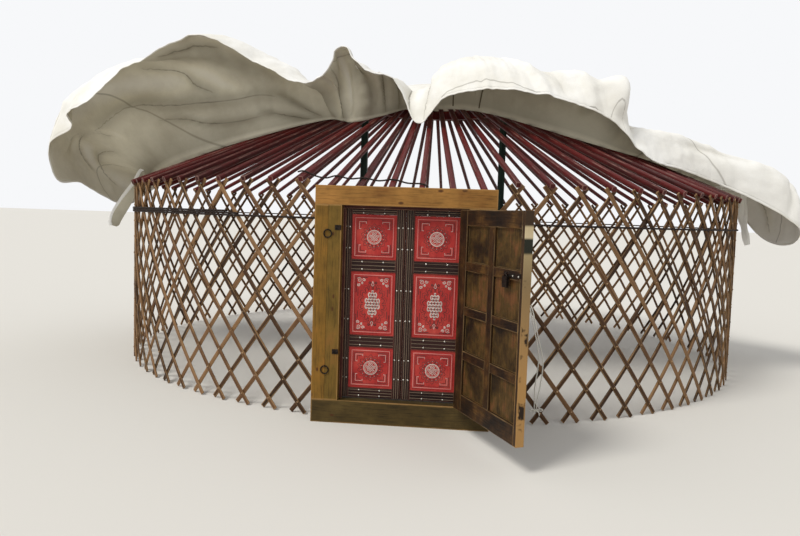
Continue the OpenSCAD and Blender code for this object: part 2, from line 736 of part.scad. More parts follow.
// Points pushed out along the normal of the profile
function offset_profile(p, d) = [for (j = [0 : len(p) - 1])
    let (v = unit(p[min(j + 1, len(p) - 1)] - p[max(j - 1, 0)])) p[j] + d * [-v[1], v[0]]];
function to_ring(p, a) = [p[0] * sin(a), -p[0] * cos(a), p[1]];

module roof_cover() {
    n = COVER_SIDES;
    angles = [for (i = [0 : n - 1]) -180 + 360 * i / n];
    under = [for (a = angles) cover_profile(a)];
    m = len(under[0]);
    over = [for (p = under) let (q = offset_profile(p, cover_t))
        concat([[1, q[0][1]]], [for (j = [1 : m - 1]) q[j]])];
    points = concat([for (i = [0 : n - 1], j = [0 : m - 1]) to_ring(under[i][j], angles[i])],
                    [for (i = [0 : n - 1], j = [0 : m - 1]) to_ring(over[i][j], angles[i])]);
    top = n * m;
    faces = concat(
        [for (i = [0 : n - 1], j = [0 : m - 2]) let (k = (i + 1) % n)
            each [[i * m + j, i * m + j + 1, k * m + j + 1], [i * m + j, k * m + j + 1, k * m + j]]],
        [for (i = [0 : n - 1], j = [0 : m - 2]) let (k = (i + 1) % n)
            each [[top + i * m + j, top + k * m + j + 1, top + i * m + j + 1],
                  [top + i * m + j, top + k * m + j, top + k * m + j + 1]]],
        [for (i = [0 : n - 1]) let (k = (i + 1) % n, e = m - 1)
            each [[i * m + e, top + i * m + e, top + k * m + e], [i * m + e, top + k * m + e, k * m + e]]],
        [[for (i = [0 : n - 1]) i * m], [for (i = [n - 1 : -1 : 0]) top + i * m]]);
    color("ivory") on_ring() polyhedron(points, faces);
}

for (k = [1 : SEGMENTS]) wall_lattice(k - 1);
for (k = [1 : POLE_GROUPS]) wall_poles(k - 1);
roof_poles_door();
crown_rim();
crown_bows();
crown_posts();
threshold();
jamb(-1);  // left_jamb
jamb(1);  // right_jamb
lintel();
door_stop();
color("saddlebrown") place_inner(-1) inner_frame();  // inner_left_frame
color("crimson") place_inner(-1) inner_panel_set();  // inner_left_panels
color("dimgray") place_inner(-1) inner_hinge_set();  // inner_left_hinges
color("saddlebrown") place_inner(1) inner_frame();  // inner_right_frame
color("crimson") place_inner(1) inner_panel_set();  // inner_right_panels
color("dimgray") place_inner(1) inner_hinge_set();  // inner_right_hinges
color("olivedrab") place_outer() outer_frame();  // outer_leaf_frame
color("darkolivegreen") place_outer() outer_panel_set();  // outer_leaf_panels
color("dimgray") place_outer() outer_hinge_set();  // outer_leaf_hinges
color("dimgray") place_outer() outer_hasp();  // outer_leaf_hasp
hinge_pins();
jamb_rings();
hair_ropes();
tie_rope();
tie_rope_bow();
roof_cover();
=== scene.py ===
import json
import random
from math import asin, atan, atan2, copysign, cos, exp, hypot, pi, radians, sin, sqrt, tan

import bmesh
import bpy
from mathutils import Matrix, Vector, kdtree, noise


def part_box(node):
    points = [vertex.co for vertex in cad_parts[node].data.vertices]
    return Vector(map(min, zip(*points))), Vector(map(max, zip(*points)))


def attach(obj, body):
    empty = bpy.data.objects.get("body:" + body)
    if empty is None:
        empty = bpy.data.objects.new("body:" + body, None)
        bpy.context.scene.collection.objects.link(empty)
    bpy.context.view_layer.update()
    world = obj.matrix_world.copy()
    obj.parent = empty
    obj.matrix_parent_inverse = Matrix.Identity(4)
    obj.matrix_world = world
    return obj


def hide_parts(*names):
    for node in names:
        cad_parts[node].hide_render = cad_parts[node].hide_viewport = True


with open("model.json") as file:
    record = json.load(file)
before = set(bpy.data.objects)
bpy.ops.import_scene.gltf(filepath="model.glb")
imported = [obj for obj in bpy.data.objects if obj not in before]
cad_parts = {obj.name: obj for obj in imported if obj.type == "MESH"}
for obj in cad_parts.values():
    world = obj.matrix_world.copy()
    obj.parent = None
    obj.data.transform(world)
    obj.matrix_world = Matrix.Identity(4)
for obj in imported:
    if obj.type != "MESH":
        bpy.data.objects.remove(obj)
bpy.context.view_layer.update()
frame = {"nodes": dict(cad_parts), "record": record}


# The camera stands four and a half metres in front of the door, a little to the right of
# it, at the height of the upper panels, and leans slightly to one side.
def placed(name, data, *materials):
    """A new object in the scene, with its materials."""
    for material in materials:
        data.materials.append(material)
    piece = bpy.data.objects.new(name, data)
    bpy.context.scene.collection.objects.link(piece)
    return piece


camera = placed("camera", bpy.data.cameras.new("camera"))
camera.data.lens = 31.52
camera.data.sensor_width = 36
yaw, pitch, roll = (radians(turn) for turn in (-5.41, -4.35, 1.86))
ahead = Vector((sin(yaw) * cos(pitch), cos(yaw) * cos(pitch), sin(pitch)))
right = Vector((cos(yaw), -sin(yaw), 0))
leant = right * cos(roll) + right.cross(ahead) * sin(roll)
camera.matrix_world = Matrix.Translation((0.400, -4.531, 1.375)) @ Matrix(
    (leant, ahead.cross(-leant), -ahead)).transposed().to_4x4()
bpy.context.scene.camera = camera


# Lattice wall: willow laths as wide as two fingers, bare and weathered brown, in two layers
# that cross like an open gate. Each is bent to the circle of the wall, and those beside the
# door are cut short at its posts. Crossings are laced with rawhide.
def linear(shade):
    """Linear colour of an sRGB hex value."""
    parts = [int(shade[i:i + 2], 16) / 255 for i in (1, 3, 5)]
    return (*(c / 12.92 if c <= 0.04045 else ((c + 0.055) / 1.055) ** 2.4 for c in parts), 1.0)


def give(node, inputs):
    """Gives each input of a node a value, a socket or the first output of another node."""
    for key, value in inputs.items():
        if isinstance(value, bpy.types.Node):
            value = value.outputs[0]
        if isinstance(value, bpy.types.NodeSocket):
            node.id_data.links.new(value, node.inputs[key])
        else:
            node.inputs[key].default_value = value
    return node


def add(tree, kind, inputs=None, **settings):
    """Adds a node with its settings and its inputs; a bare kind is a shader node's."""
    node = tree.nodes.new(kind if "Node" in kind else "ShaderNode" + kind)
    for key, value in settings.items():
        setattr(node, key, value)
    return give(node, inputs or {})


def shades(ramp, *stops):
    """Sets a colour ramp's stops, each a place and an sRGB hex value or a grey level."""
    elements = ramp.color_ramp.elements
    while len(elements) < len(stops):
        elements.new(0.5)
    for element, (place, shade) in zip(elements, stops):
        element.position = place
        element.color = linear(shade) if isinstance(shade, str) else (shade, shade, shade, 1)
    return ramp


def finish(name):
    """A new material with its tree and its shader."""
    material = bpy.data.materials.new(name)
    material.use_nodes = True
    shader = material.node_tree.nodes["Principled BSDF"]
    shader.inputs["Specular IOR Level"].default_value = 0.2
    return material, material.node_tree, shader


def sockets(tree, inputs, outputs):
    """Gives a node group its named inputs and outputs."""
    for side, entries in (("INPUT", inputs), ("OUTPUT", outputs)):
        for name, kind in entries:
            tree.interface.new_socket(name=name, in_out=side, socket_type="NodeSocket" + kind)
    return add(tree, "NodeGroupInput"), add(tree, "NodeGroupOutput")


# Sawn or split wood, in a piece's own measures: x runs along the grain, in metres. Its
# streaks are drawn 4 to 6 mm wide, coarser than real ones, to show from four metres away.
wood = bpy.data.node_groups.new("wood", "ShaderNodeTree")
source, result = sockets(wood, [("Streak width", "Float")],
                         [("Streaks", "Float"), ("Fibres", "Float"), ("Stain", "Float"), ("Edge", "Float")])
local = add(wood, "Attribute", attribute_name="grain")
half = add(wood, "Attribute", attribute_name="half")
tint = add(wood, "Attribute", attribute_name="tint")
apart = add(wood, "VectorMath", {0: tint.outputs["Fac"], 1: (7.3, 3.1, 5.7)}, operation="MULTIPLY")
place = add(wood, "VectorMath", {0: local.outputs["Vector"], 1: apart}, operation="ADD")
bend = add(wood, "TexNoise", {"Vector": place, "Scale": 3.0, "Detail": 2.0})
bent = add(wood, "VectorMath", {0: bend.outputs["Color"], 1: (0.03, 0.03, 0.03), 2: place},
           operation="MULTIPLY_ADD")
width = add(wood, "Math", {0: 1.0, 1: source.outputs["Streak width"]}, operation="DIVIDE")
drawn = add(wood, "VectorMath", {0: bent, 1: (0.06, 1.0, 1.0)}, operation="MULTIPLY")
drawn = add(wood, "VectorMath", {0: drawn, "Scale": width}, operation="SCALE")
streaks = add(wood, "TexNoise", {"Vector": drawn, "Scale": 1.0, "Detail": 3.0, "Roughness": 0.6})
fine = add(wood, "VectorMath", {0: drawn, 1: (0.6, 4.0, 4.0)}, operation="MULTIPLY")
fibres = add(wood, "TexNoise", {"Vector": fine, "Scale": 1.0, "Detail": 2.0})
stain = add(wood, "TexNoise", {"Vector": place, "Scale": 5.0, "Detail": 4.0, "Roughness": 0.65})
# Distance to the nearest edge of a squared piece: the second smallest of the three to its faces
size = add(wood, "VectorMath", {0: local.outputs["Vector"]}, operation="ABSOLUTE")
left = add(wood, "VectorMath", {0: half.outputs["Vector"], 1: size}, operation="SUBTRACT")
left = add(wood, "SeparateXYZ", {0: left})
low = add(wood, "Math", {0: left.outputs[0], 1: left.outputs[1]}, operation="MINIMUM")
high = add(wood, "Math", {0: left.outputs[0], 1: left.outputs[1]}, operation="MAXIMUM")
high = add(wood, "Math", {0: high, 1: left.outputs[2]}, operation="MINIMUM")
edge = add(wood, "Math", {0: low, 1: high}, operation="MAXIMUM")
ragged = add(wood, "Math", {0: stain, 1: 0.02, 2: edge}, operation="MULTIPLY_ADD")
give(result, {"Streaks": streaks, "Fibres": fibres, "Stain": stain, "Edge": ragged})


def timber(name, streak, stains, late, bump, roughness, edge=((0, 0.0), (1, 0.0)), bare="#000000",
           own=(0, 1), knots=0, handled=0):
    """Wood under a finish. A ramp over its stains gives the shade, and late, a share and a ramp
    over its streaks, darkens it. Bare wood shows by a ramp over the distance to the nearest edge.
    own says how far a board's tint and its stains each set its place on the first ramp; knots is
    their reach, and handled the height of a stile that hands have worn bare on one side."""
    material, tree, shader = finish(name)
    board = add(tree, "Group", {"Streak width": streak}, node_tree=wood)
    tint = add(tree, "Attribute", attribute_name="tint").outputs["Fac"]
    local = add(tree, "Attribute", attribute_name="grain").outputs["Vector"]
    place = add(tree, "Math", {0: board.outputs["Stain"], 1: own[1]}, operation="MULTIPLY")
    place = add(tree, "Math", {0: tint, 1: own[0], 2: place}, operation="MULTIPLY_ADD")
    ground = shades(add(tree, "ValToRGB", {0: place}), *stains)
    dull = shades(add(tree, "ValToRGB", {0: board.outputs["Streaks"]}), *late[1:])
    colour = add(tree, "Mix", {0: late[0], 6: ground, 7: dull}, data_type="RGBA",
                 blend_type="MULTIPLY").outputs[2]
    if knots:
        apart = add(tree, "VectorMath", {0: tint, 1: (5.1, 9.7, 2.3)}, operation="MULTIPLY")
        cells = add(tree, "VectorMath", {0: local, 1: apart}, operation="ADD")
        cells = add(tree, "VectorMath", {0: cells, 1: (3.2, 6.5, 1.5)}, operation="MULTIPLY")
        cells = add(tree, "TexVoronoi", {"Vector": cells, "Scale": 1.0}, voronoi_dimensions="2D")
        heart = shades(add(tree, "ValToRGB", {0: cells.outputs["Distance"]}),
                       (knots * 0.5, 0.9), (knots * 0.8, 0.45), (knots, 0.0))
        colour = add(tree, "Mix", {0: heart, 6: colour, 7: linear("#4a2a12")},
                     data_type="RGBA").outputs[2]
    worn = shades(add(tree, "ValToRGB", {0: board.outputs["Edge"]}), *edge)
    bare = linear(bare)
    if handled:
        side = add(tree, "SeparateXYZ", {0: local})
        up = add(tree, "MapRange",
                 {"Value": side.outputs[0], "From Min": -handled / 2, "From Max": handled / 2})
        bare = shades(add(tree, "ValToRGB", {0: up}), (0.30, "#a8804c"), (0.70, "#86704e"),
                      (0.815, "#a08c66"), (0.825, "#23241a"), (0.880, "#23241a"), (0.888, "#cdbb96"),
                      (0.932, "#c3b08a"), (0.940, "#3a2a1a"))
        side = add(tree, "Math", {0: side.outputs[1], 1: -1.0}, operation="MULTIPLY")
        side = shades(add(tree, "ValToRGB", {0: side}), (0.0125, 0.0), (0.0140, 1.0))
        patches = shades(add(tree, "ValToRGB", {0: board.outputs["Stain"]}), (0.36, 0.0), (0.41, 1.0))
        side = add(tree, "Math", {0: side, 1: patches}, operation="MULTIPLY")
        worn = add(tree, "Math", {0: worn, 1: side}, operation="MAXIMUM")
    colour = add(tree, "Mix", {0: worn, 6: colour, 7: bare}, data_type="RGBA").outputs[2]
    relief = add(tree, "Bump",
                 {"Strength": bump[0], "Distance": bump[1], "Height": board.outputs[bump[2]]})
    give(shader, {"Base Color": colour, "Normal": relief, "Roughness": roughness})
    return material


# Willow, split, stripped and oiled by hands: warm brown, from red to straw from lath to lath
willow = timber("weathered willow", 0.006,
                [(0.0, "#38271a"), (0.35, "#533924"), (0.7, "#6f4f34"), (1.0, "#8f6c4a")],
                (0.8, (0.35, 0.55), (0.62, 1.0)), (0.4, 0.002, "Fibres"), 0.68,
                [(0.0115, 0.75), (0.0145, 0.0)], "#9c7b54", own=(1, 0))

# A squared bar swept along each line of a mesh, with its corners taken off
bar = bpy.data.node_groups.new("bar along a line", "GeometryNodeTree")
source, result = sockets(bar, [("Lines", "Geometry"), ("Width", "Float"), ("Thickness", "Float"),
                               ("Corner", "Float"), ("Finish", "Material")], [("Bars", "Geometry")])
line = add(bar, "GeometryNodeMeshToCurve", {0: source.outputs["Lines"]})
facing = add(bar, "GeometryNodeInputNamedAttribute", {0: "facing"}, data_type="FLOAT_VECTOR")
line = add(bar, "GeometryNodeSetCurveNormal", {0: line, "Normal": facing}, mode="FREE")
walked = add(bar, "GeometryNodeCaptureAttribute", {0: line})
walked.capture_items.new("FLOAT", "Along")
bar.links.new(add(bar, "GeometryNodeSplineParameter").outputs["Length"], walked.inputs["Along"])
section = add(bar, "GeometryNodeCurvePrimitiveQuadrilateral",
              {"Width": source.outputs["Thickness"], "Height": source.outputs["Width"]})
section = add(bar, "GeometryNodeFilletCurve", {0: section, "Count": 1, "Radius": source.outputs["Corner"]},
              mode="POLY")
section = add(bar, "GeometryNodeCaptureAttribute", {0: section})
section.capture_items.new("VECTOR", "Across")
bar.links.new(add(bar, "GeometryNodeInputPosition").outputs[0], section.inputs["Across"])
scale = add(bar, "GeometryNodeInputNamedAttribute", {0: "scale"}, data_type="FLOAT")
swept = add(bar, "GeometryNodeCurveToMesh", {0: walked.outputs[0], 1: section.outputs[0], "Scale": scale,
                                             "Fill Caps": True})
reach = add(bar, "GeometryNodeInputNamedAttribute", {0: "reach"}, data_type="FLOAT")
centred = add(bar, "Math", {0: walked.outputs["Along"], 1: reach}, operation="SUBTRACT")
across = add(bar, "SeparateXYZ", {0: section.outputs["Across"]})
grain = add(bar, "CombineXYZ", {0: centred, 1: across.outputs[1], 2: across.outputs[0]})
halves = [add(bar, "Math", {0: source.outputs[name], 1: 0.5}, operation="MULTIPLY")
          for name in ("Width", "Thickness")]
halves = add(bar, "CombineXYZ", {0: reach, 1: halves[0], 2: halves[1]})
for name, value in (("grain", grain), ("half", halves)):
    swept = add(bar, "GeometryNodeStoreNamedAttribute", {0: swept, "Name": name, "Value": value},
                data_type="FLOAT_VECTOR")
swept = add(bar, "GeometryNodeSetMaterial", {0: swept, "Material": source.outputs["Finish"]})
give(result, {0: swept})


def kept(piece):
    """Keeps what the modifiers of a piece make of it."""
    mesh = bpy.data.meshes.new_from_object(piece.evaluated_get(bpy.context.evaluated_depsgraph_get()))
    piece.modifiers.clear()
    piece.data = mesh
    return piece


def shaped(piece, tree, inputs):
    """Runs a node tree on a piece, with its named inputs set, and keeps what it makes."""
    modifier = piece.modifiers.new("shape", "NODES")
    modifier.node_group = tree
    for item in tree.interface.items_tree:
        if item.in_out == "INPUT" and item.name in inputs:
            modifier[item.identifier] = inputs[item.name]
    return kept(piece)


def bars(name, lines, width, thickness, corner, material):
    """Squared bars in one piece. Each is (points, ways its flat side faces, tint, scales)."""
    spots, edges, values = [], [], {"facing": [], "tint": [], "scale": [], "reach": []}
    for line, facing, own, scale in lines:
        count = len(line)
        edges += [(len(spots) + i, len(spots) + i + 1) for i in range(count - 1)]
        spots += line
        values["facing"] += [c for way in facing for c in way]
        values["tint"] += [own] * count
        values["scale"] += scale or [1.0] * count
        values["reach"] += [sum((b - a).length for a, b in zip(line, line[1:])) / 2] * count
    mesh = bpy.data.meshes.new(name)
    mesh.from_pydata(spots, edges, [])
    for key, numbers in values.items():
        kind, field = ("FLOAT_VECTOR", "vector") if key == "facing" else ("FLOAT", "value")
        mesh.attributes.new(key, kind, "POINT").data.foreach_set(field, numbers)
    return shaped(placed(name, mesh), bar, {"Width": width, "Thickness": thickness, "Corner": corner,
                                            "Finish": material})


def keep(piece, body, slot, *nodes):
    """Puts a piece on its body, in place of the CAD nodes that it stands for; slot is not used."""
    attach(piece, body)
    if nodes:
        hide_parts(*nodes)


WALL_R, LATH_T, LATH_W, HALF_FRAME, END_STEP = 2.930, 0.012, 0.030, 0.5838, 0.54
CROSSINGS, FOOT_ROW, ROW_RISE, ROWS, LATH_MID = 75, 0.075, 0.1465, 10, 0.800
WALL_START = asin(HALF_FRAME / (WALL_R - LATH_T))
PITCH = (2 * pi - 2 * WALL_START) / (CROSSINGS - 1 + 2 * END_STEP)
LATH_RISE = ROW_RISE / (WALL_R * PITCH / 2)
LATH_SLOPE = atan(LATH_RISE)
LATH_OFFSET = (FOOT_ROW + ROWS * ROW_RISE - LATH_MID) / ROW_RISE * PITCH / 2
LATH_REACH = asin((LATH_MID - LATH_W / 2 * cos(LATH_SLOPE)) / LATH_RISE / WALL_R)


def ring(radius, angle, z):
    """A point of the tent, by its distance from the middle and its angle from the door."""
    return Vector((radius * sin(angle), WALL_R - radius * cos(angle), z))


def crossing(i):
    """Angle of a crossing in the top row of the lattice."""
    return WALL_START + (i + END_STEP) * PITCH


dice = random.Random(4)
lines = []
for i in range(-6, CROSSINGS + 6):
    for layer in (-1, 1):
        middle = crossing(i) + layer * LATH_OFFSET
        start = max(middle - LATH_REACH, WALL_START)
        end = min(middle + LATH_REACH, 2 * pi - WALL_START)
        if end - start < 0.01:
            continue
        radius = WALL_R + layer * (LATH_T / 2 + 0.0004)
        steps = max(2, round((end - start) / 0.017))
        line, facing = [], []
        bow, phase = dice.uniform(-0.0025, 0.0025), dice.uniform(0, 6)
        for step in range(steps + 1):
            angle = start + (end - start) * step / steps
            rise = LATH_MID - layer * radius * LATH_RISE * sin(angle - middle)
            line.append(ring(radius, angle, rise + bow * sin(9 * (angle - middle) + phase)))
            facing.append(ring(1, angle, 0) - ring(0, angle, 0))
        lines.append((line, facing, dice.random(), None))
laths = bars("wall_laths", lines, LATH_W, LATH_T, 0.003, willow)
for vertex in laths.data.vertices:
    vertex.co.z = max(vertex.co.z, 0.0)
keep(laths, "tent_frame", "lath_wood", *(f"wall_lattice_{k}" for k in range(1, 16)))


def mottled(name, stops, scale, roughness, detail=2.0, fineness=0.5, bump=None, metallic=0.0):
    """A finish whose shade, and relief if it has one, follow a noise of so many spots a metre.
    roughness is one value or a ramp over the same noise."""
    material, tree, shader = finish(name)
    where = add(tree, "Mapping",
                {"Vector": add(tree, "TexCoord").outputs["Object"], "Scale": scale})
    spots = add(tree, "TexNoise",
                {"Vector": where, "Scale": 1.0, "Detail": detail, "Roughness": fineness})
    if isinstance(roughness, list):
        roughness = shades(add(tree, "ValToRGB", {0: spots}), *roughness)
    if bump:
        relief = add(tree, "Bump", {"Strength": bump[0], "Distance": bump[1], "Height": spots})
        give(shader, {"Normal": relief})
    give(shader, {"Base Color": shades(add(tree, "ValToRGB", {0: spots}), *stops),
                  "Roughness": roughness, "Metallic": metallic})
    return material


# Rawhide thongs: a strip pulled wet through a hole in both laths and knotted on each side
rawhide = mottled("dried rawhide", [(0.35, "#5f4330"), (0.65, "#c0a078")], (60.0, 60.0, 60.0), 0.6)

# A small piece set on each point of a mesh, turned to face the way that the point gives
studs = bpy.data.node_groups.new("pieces on points", "GeometryNodeTree")
source, result = sockets(studs, [("Points", "Geometry"), ("Piece", "Object"), ("Least size", "Float"),
                                 ("Seed", "Int"), ("Finish", "Material")], [("Pieces", "Geometry")])
facing = add(studs, "GeometryNodeInputNamedAttribute", {0: "facing"}, data_type="FLOAT_VECTOR")
turned = add(studs, "FunctionNodeAlignRotationToVector", {"Vector": facing}, axis="Z")
twist = add(studs, "FunctionNodeRandomValue", {2: 0.0, 3: 6.283, "Seed": source.outputs["Seed"]},
            data_type="FLOAT")
twist = add(studs, "FunctionNodeAxisAngleToRotation", {"Axis": (0, 0, 1), "Angle": twist.outputs[1]})
turned = add(studs, "FunctionNodeRotateRotation", {0: turned, 1: twist}, rotation_space="LOCAL")
bigness = add(studs, "FunctionNodeRandomValue",
              {2: source.outputs["Least size"], 3: 1.0, "Seed": source.outputs["Seed"]}, data_type="FLOAT")
shape = add(studs, "GeometryNodeObjectInfo", {0: source.outputs["Piece"]})
put = add(studs, "GeometryNodeInstanceOnPoints",
          {0: source.outputs["Points"], "Instance": shape.outputs["Geometry"], "Rotation": turned,
           "Scale": bigness.outputs[1]})
put = add(studs, "GeometryNodeRealizeInstances", {0: put})
put = add(studs, "GeometryNodeSetMaterial", {0: put, "Material": source.outputs["Finish"]})
give(result, {0: put})


def studded(name, spots, piece, least, seed, material):
    """A small piece on each spot, a point and the way that it faces; least is its least size."""
    mesh = bpy.data.meshes.new(name)
    mesh.from_pydata([spot for spot, _ in spots], [], [])
    mesh.attributes.new("facing", "FLOAT_VECTOR", "POINT").data.foreach_set(
        "vector", [c for _, way in spots for c in way])
    return shaped(placed(name, mesh), studs, {"Piece": piece, "Least size": least, "Seed": seed,
                                              "Finish": material})


def meshed(name, shell):
    """The mesh of a finished shell."""
    mesh = bpy.data.meshes.new(name)
    shell.to_mesh(mesh)
    shell.free()
    return mesh


def pattern(name, profile, sides):
    """A small turned piece, from its radius and height pairs, to be set on points."""
    shell = bmesh.new()
    rings = [[shell.verts.new((r * cos(2 * pi * k / sides), r * sin(2 * pi * k / sides), z))
              for k in range(sides)] for r, z in profile]
    for below, above in zip(rings, rings[1:]):
        for k in range(sides):
            shell.faces.new((below[k], below[(k + 1) % sides], above[(k + 1) % sides], above[k]))
    shell.faces.new(rings[0][::-1])
    shell.faces.new(rings[-1])
    return bpy.data.objects.new(name, meshed(name, shell))


knot = pattern("knot", [(0.0065, -0.001), (0.0075, 0.002), (0.0045, 0.0045)], 6)
spots = []
for i in range(CROSSINGS + 1):
    for row in range(ROWS + 1):
        angle = crossing(i) - (row % 2) * PITCH / 2
        if i < CROSSINGS or row % 2:
            z = LATH_MID + WALL_R * LATH_RISE * sin(LATH_OFFSET - row * PITCH / 2)
            for out in (-1, 1):
                spots.append((ring(WALL_R + out * (LATH_T + 0.0002), angle, z),
                              out * (ring(1, angle, 0) - ring(0, angle, 0))))
keep(studded("lath_thongs", spots, knot, 0.7, 3, rawhide), "tent_frame", "lath_wood")


# Crown: a bent wooden rim with a square hole for each pole, four bows over it and an inner
# ring, painted dark red with the poles. It stays the CAD's own, as the rim is exact there.
def painted(name, coat, light, bare, wear):
    """Old oil paint on wood: a shade that varies with the hands that wore it, bare at the edges."""
    return timber(name, 0.007, [(0.3, coat), (0.95, light)], (0.7, (0.3, 0.72), (0.6, 1.0)),
                  (0.3, 0.002, "Fibres"), 0.5, [(wear, 0.85), (wear + 0.0025, 0.0)], bare, own=(0.5, 1))


def dress(node, material):
    """Gives a CAD node its finish."""
    piece = frame["nodes"][node]
    piece.data.materials.clear()
    piece.data.materials.append(material)


slots = {part["node"]: part["material_slot"] for part in frame["record"]["subparts"]}
crown_red = mottled("crown oil paint", [(0.35, "#360c0d"), (0.6, "#5c1816"), (0.72, "#80402f")],
                    (9.0, 9.0, 9.0), 0.5, 5.0, 0.65, (0.3, 0.003))
for node in ("crown_rim", "crown_bows"):
    dress(node, crown_red)

# Posts: two squared posts, painted green and drawn dark with painted shade, that hold the
# crown's rim up on their head blocks
post_green_shaded = mottled("post oil paint with painted shade", [(0.3, "#101b17"), (0.6, "#1f332b"), (0.8, "#41564a")],
                     (40.0, 40.0, 2.0), 0.5, 4.0, 0.5, (0.3, 0.002))
dress("crown_posts", post_green_shaded)

# Roof poles: straight larch poles, squared with their corners taken off and painted dark
# red. Each lies in a crotch of the wall and pushes its tongue into the crown's rim; those
# over the door stand on the lintel, cut level.
pole_red = painted("pole oil paint", "#250a09", "#5c1917", "#876459", 0.0122)
POLE_W, POLE_FLAT, POLE_OVERHANG, TONGUE = 0.038, 0.011, 0.025, 0.034
CROWN_R, CROWN_Z, SEAT, FRAME_H, DOOR_OVERHANG = 0.760, 2.525, 0.0003, 1.550, 0.110
OUTER_R = WALL_R + LATH_T
crotch_slope = atan(LATH_RISE * cos(LATH_OFFSET))
crotch = (LATH_MID + WALL_R * LATH_RISE * sin(LATH_OFFSET) + LATH_T * LATH_RISE * sin(LATH_OFFSET)
          + LATH_W / 2 / cos(LATH_SLOPE))
lean = cos(atan((CROWN_Z - crotch - POLE_W) / (OUTER_R - CROWN_R)))
wall_seat = crotch + SEAT / cos(crotch_slope) + max(
    tan(crotch_slope) * POLE_W / 2 + POLE_FLAT / lean, tan(crotch_slope) * POLE_FLAT + POLE_W / 2 / lean)
dice = random.Random(11)


def pole(angle, foot_r, foot_z, overhang):
    """A pole's line from its foot outside the wall to the tip of its tongue."""
    rise = atan((CROWN_Z - foot_z) / (foot_r - CROWN_R))
    run = (foot_r - CROWN_R) / cos(rise)
    shoulder = run - POLE_W / 2 * tan(rise) - SEAT
    line, scale = [], []
    bow = dice.uniform(-0.002, 0.002)
    for along, wide in [(-overhang + (shoulder + overhang) * k / 8, 1.0) for k in range(9)] + [
            (shoulder + 0.0001, 0.62), (shoulder + 0.02, 0.62), (run + TONGUE, 0.62)]:
        side = bow * sin(pi * (along + overhang) / (shoulder + overhang)) if along < shoulder else 0
        line.append(ring(foot_r - along * cos(rise), angle + side / 2, foot_z + along * sin(rise)))
        scale.append(wide)
    return line, [Vector((cos(angle), sin(angle), 0))] * len(line), dice.random(), scale


lines = [pole(crossing(i), OUTER_R, wall_seat, POLE_OVERHANG) for i in range(CROSSINGS)]
poles = bars("wall_roof_poles", lines, POLE_W, POLE_W, POLE_W / 2 - POLE_FLAT, pole_red)
keep(poles, "tent_frame", "painted_pole", *(f"roof_poles_{k}" for k in range(1, 6)))
lines = []
for i in range(6):
    angle = (i + 0.5) * WALL_START / 3 - WALL_START
    lines.append(pole(angle, WALL_R / cos(angle), FRAME_H + SEAT, DOOR_OVERHANG))
poles = bars("door_roof_poles", lines, POLE_W, POLE_W, POLE_W / 2 - POLE_FLAT, pole_red)
for vertex in poles.data.vertices:
    below = FRAME_H + SEAT - vertex.co.z
    if below > 0:
        angle = atan2(vertex.co.x, WALL_R - vertex.co.y)
        angle = (round(angle / (WALL_START / 3) - 0.5) + 0.5) * WALL_START / 3
        foot = WALL_R / cos(angle)
        vertex.co += (ring(CROWN_R, angle, 0) - ring(foot, angle, 0)) * below / (CROWN_Z - FRAME_H - SEAT)
        vertex.co.z = FRAME_H + SEAT
keep(poles, "tent_frame", "painted_pole", "roof_poles_door")


# Door frame: a threshold, two jambs and a lintel of thick pine boards. The lintel is newly
# oiled, with knots; the others are older, stained ochre and worn by hands. The left jamb is
# made of two planks.
def boards(name, parts, material, round_off=0.002, turn=Matrix.Identity(4), seed=1):
    """Squared boards in one piece. Each is (lowest corner, highest corner, axis of its grain)."""
    dice = random.Random(seed)
    shell = bmesh.new()
    grain = shell.verts.layers.float_vector.new("grain")
    half = shell.verts.layers.float_vector.new("half")
    tint = shell.verts.layers.float.new("tint")
    for low, high, axis in parts:
        low, high = Vector(low), Vector(high)
        order = {"x": (0, 2, 1), "z": (2, 0, 1)}[axis]
        made = bmesh.ops.create_cube(shell, size=1, matrix=Matrix.Translation((low + high) / 2) @
                                     Matrix.Diagonal((*(high - low), 1)))
        edges = list({edge for vertex in made["verts"] for edge in vertex.link_edges})
        own, centre, reach = dice.random(), (low + high) / 2, (high - low) / 2
        known = set(shell.verts) - set(made["verts"])
        if round_off:
            bmesh.ops.bevel(shell, geom=edges, offset=round_off, segments=2, profile=0.6, affect="EDGES")
        for vertex in set(shell.verts) - known:
            vertex[grain] = Vector([(vertex.co - centre)[k] for k in order])
            vertex[half] = Vector([reach[k] for k in order])
            vertex[tint] = own
    mesh = meshed(name, shell)
    mesh.transform(turn)
    return placed(name, mesh, material)


def pine(name, *stains, knots=0.055):
    """Pine boards: long streaks over a stain, darker late wood, and knots with dark hearts."""
    return timber(name, 0.009, stains, (0.75, (0.34, 0.5), (0.5, 0.95), (0.7, 1.0)),
                  (0.35, 0.003, "Streaks"), 0.6, [(0.012, 0.5), (0.018, 0.0)], "#b98f58", knots=knots)


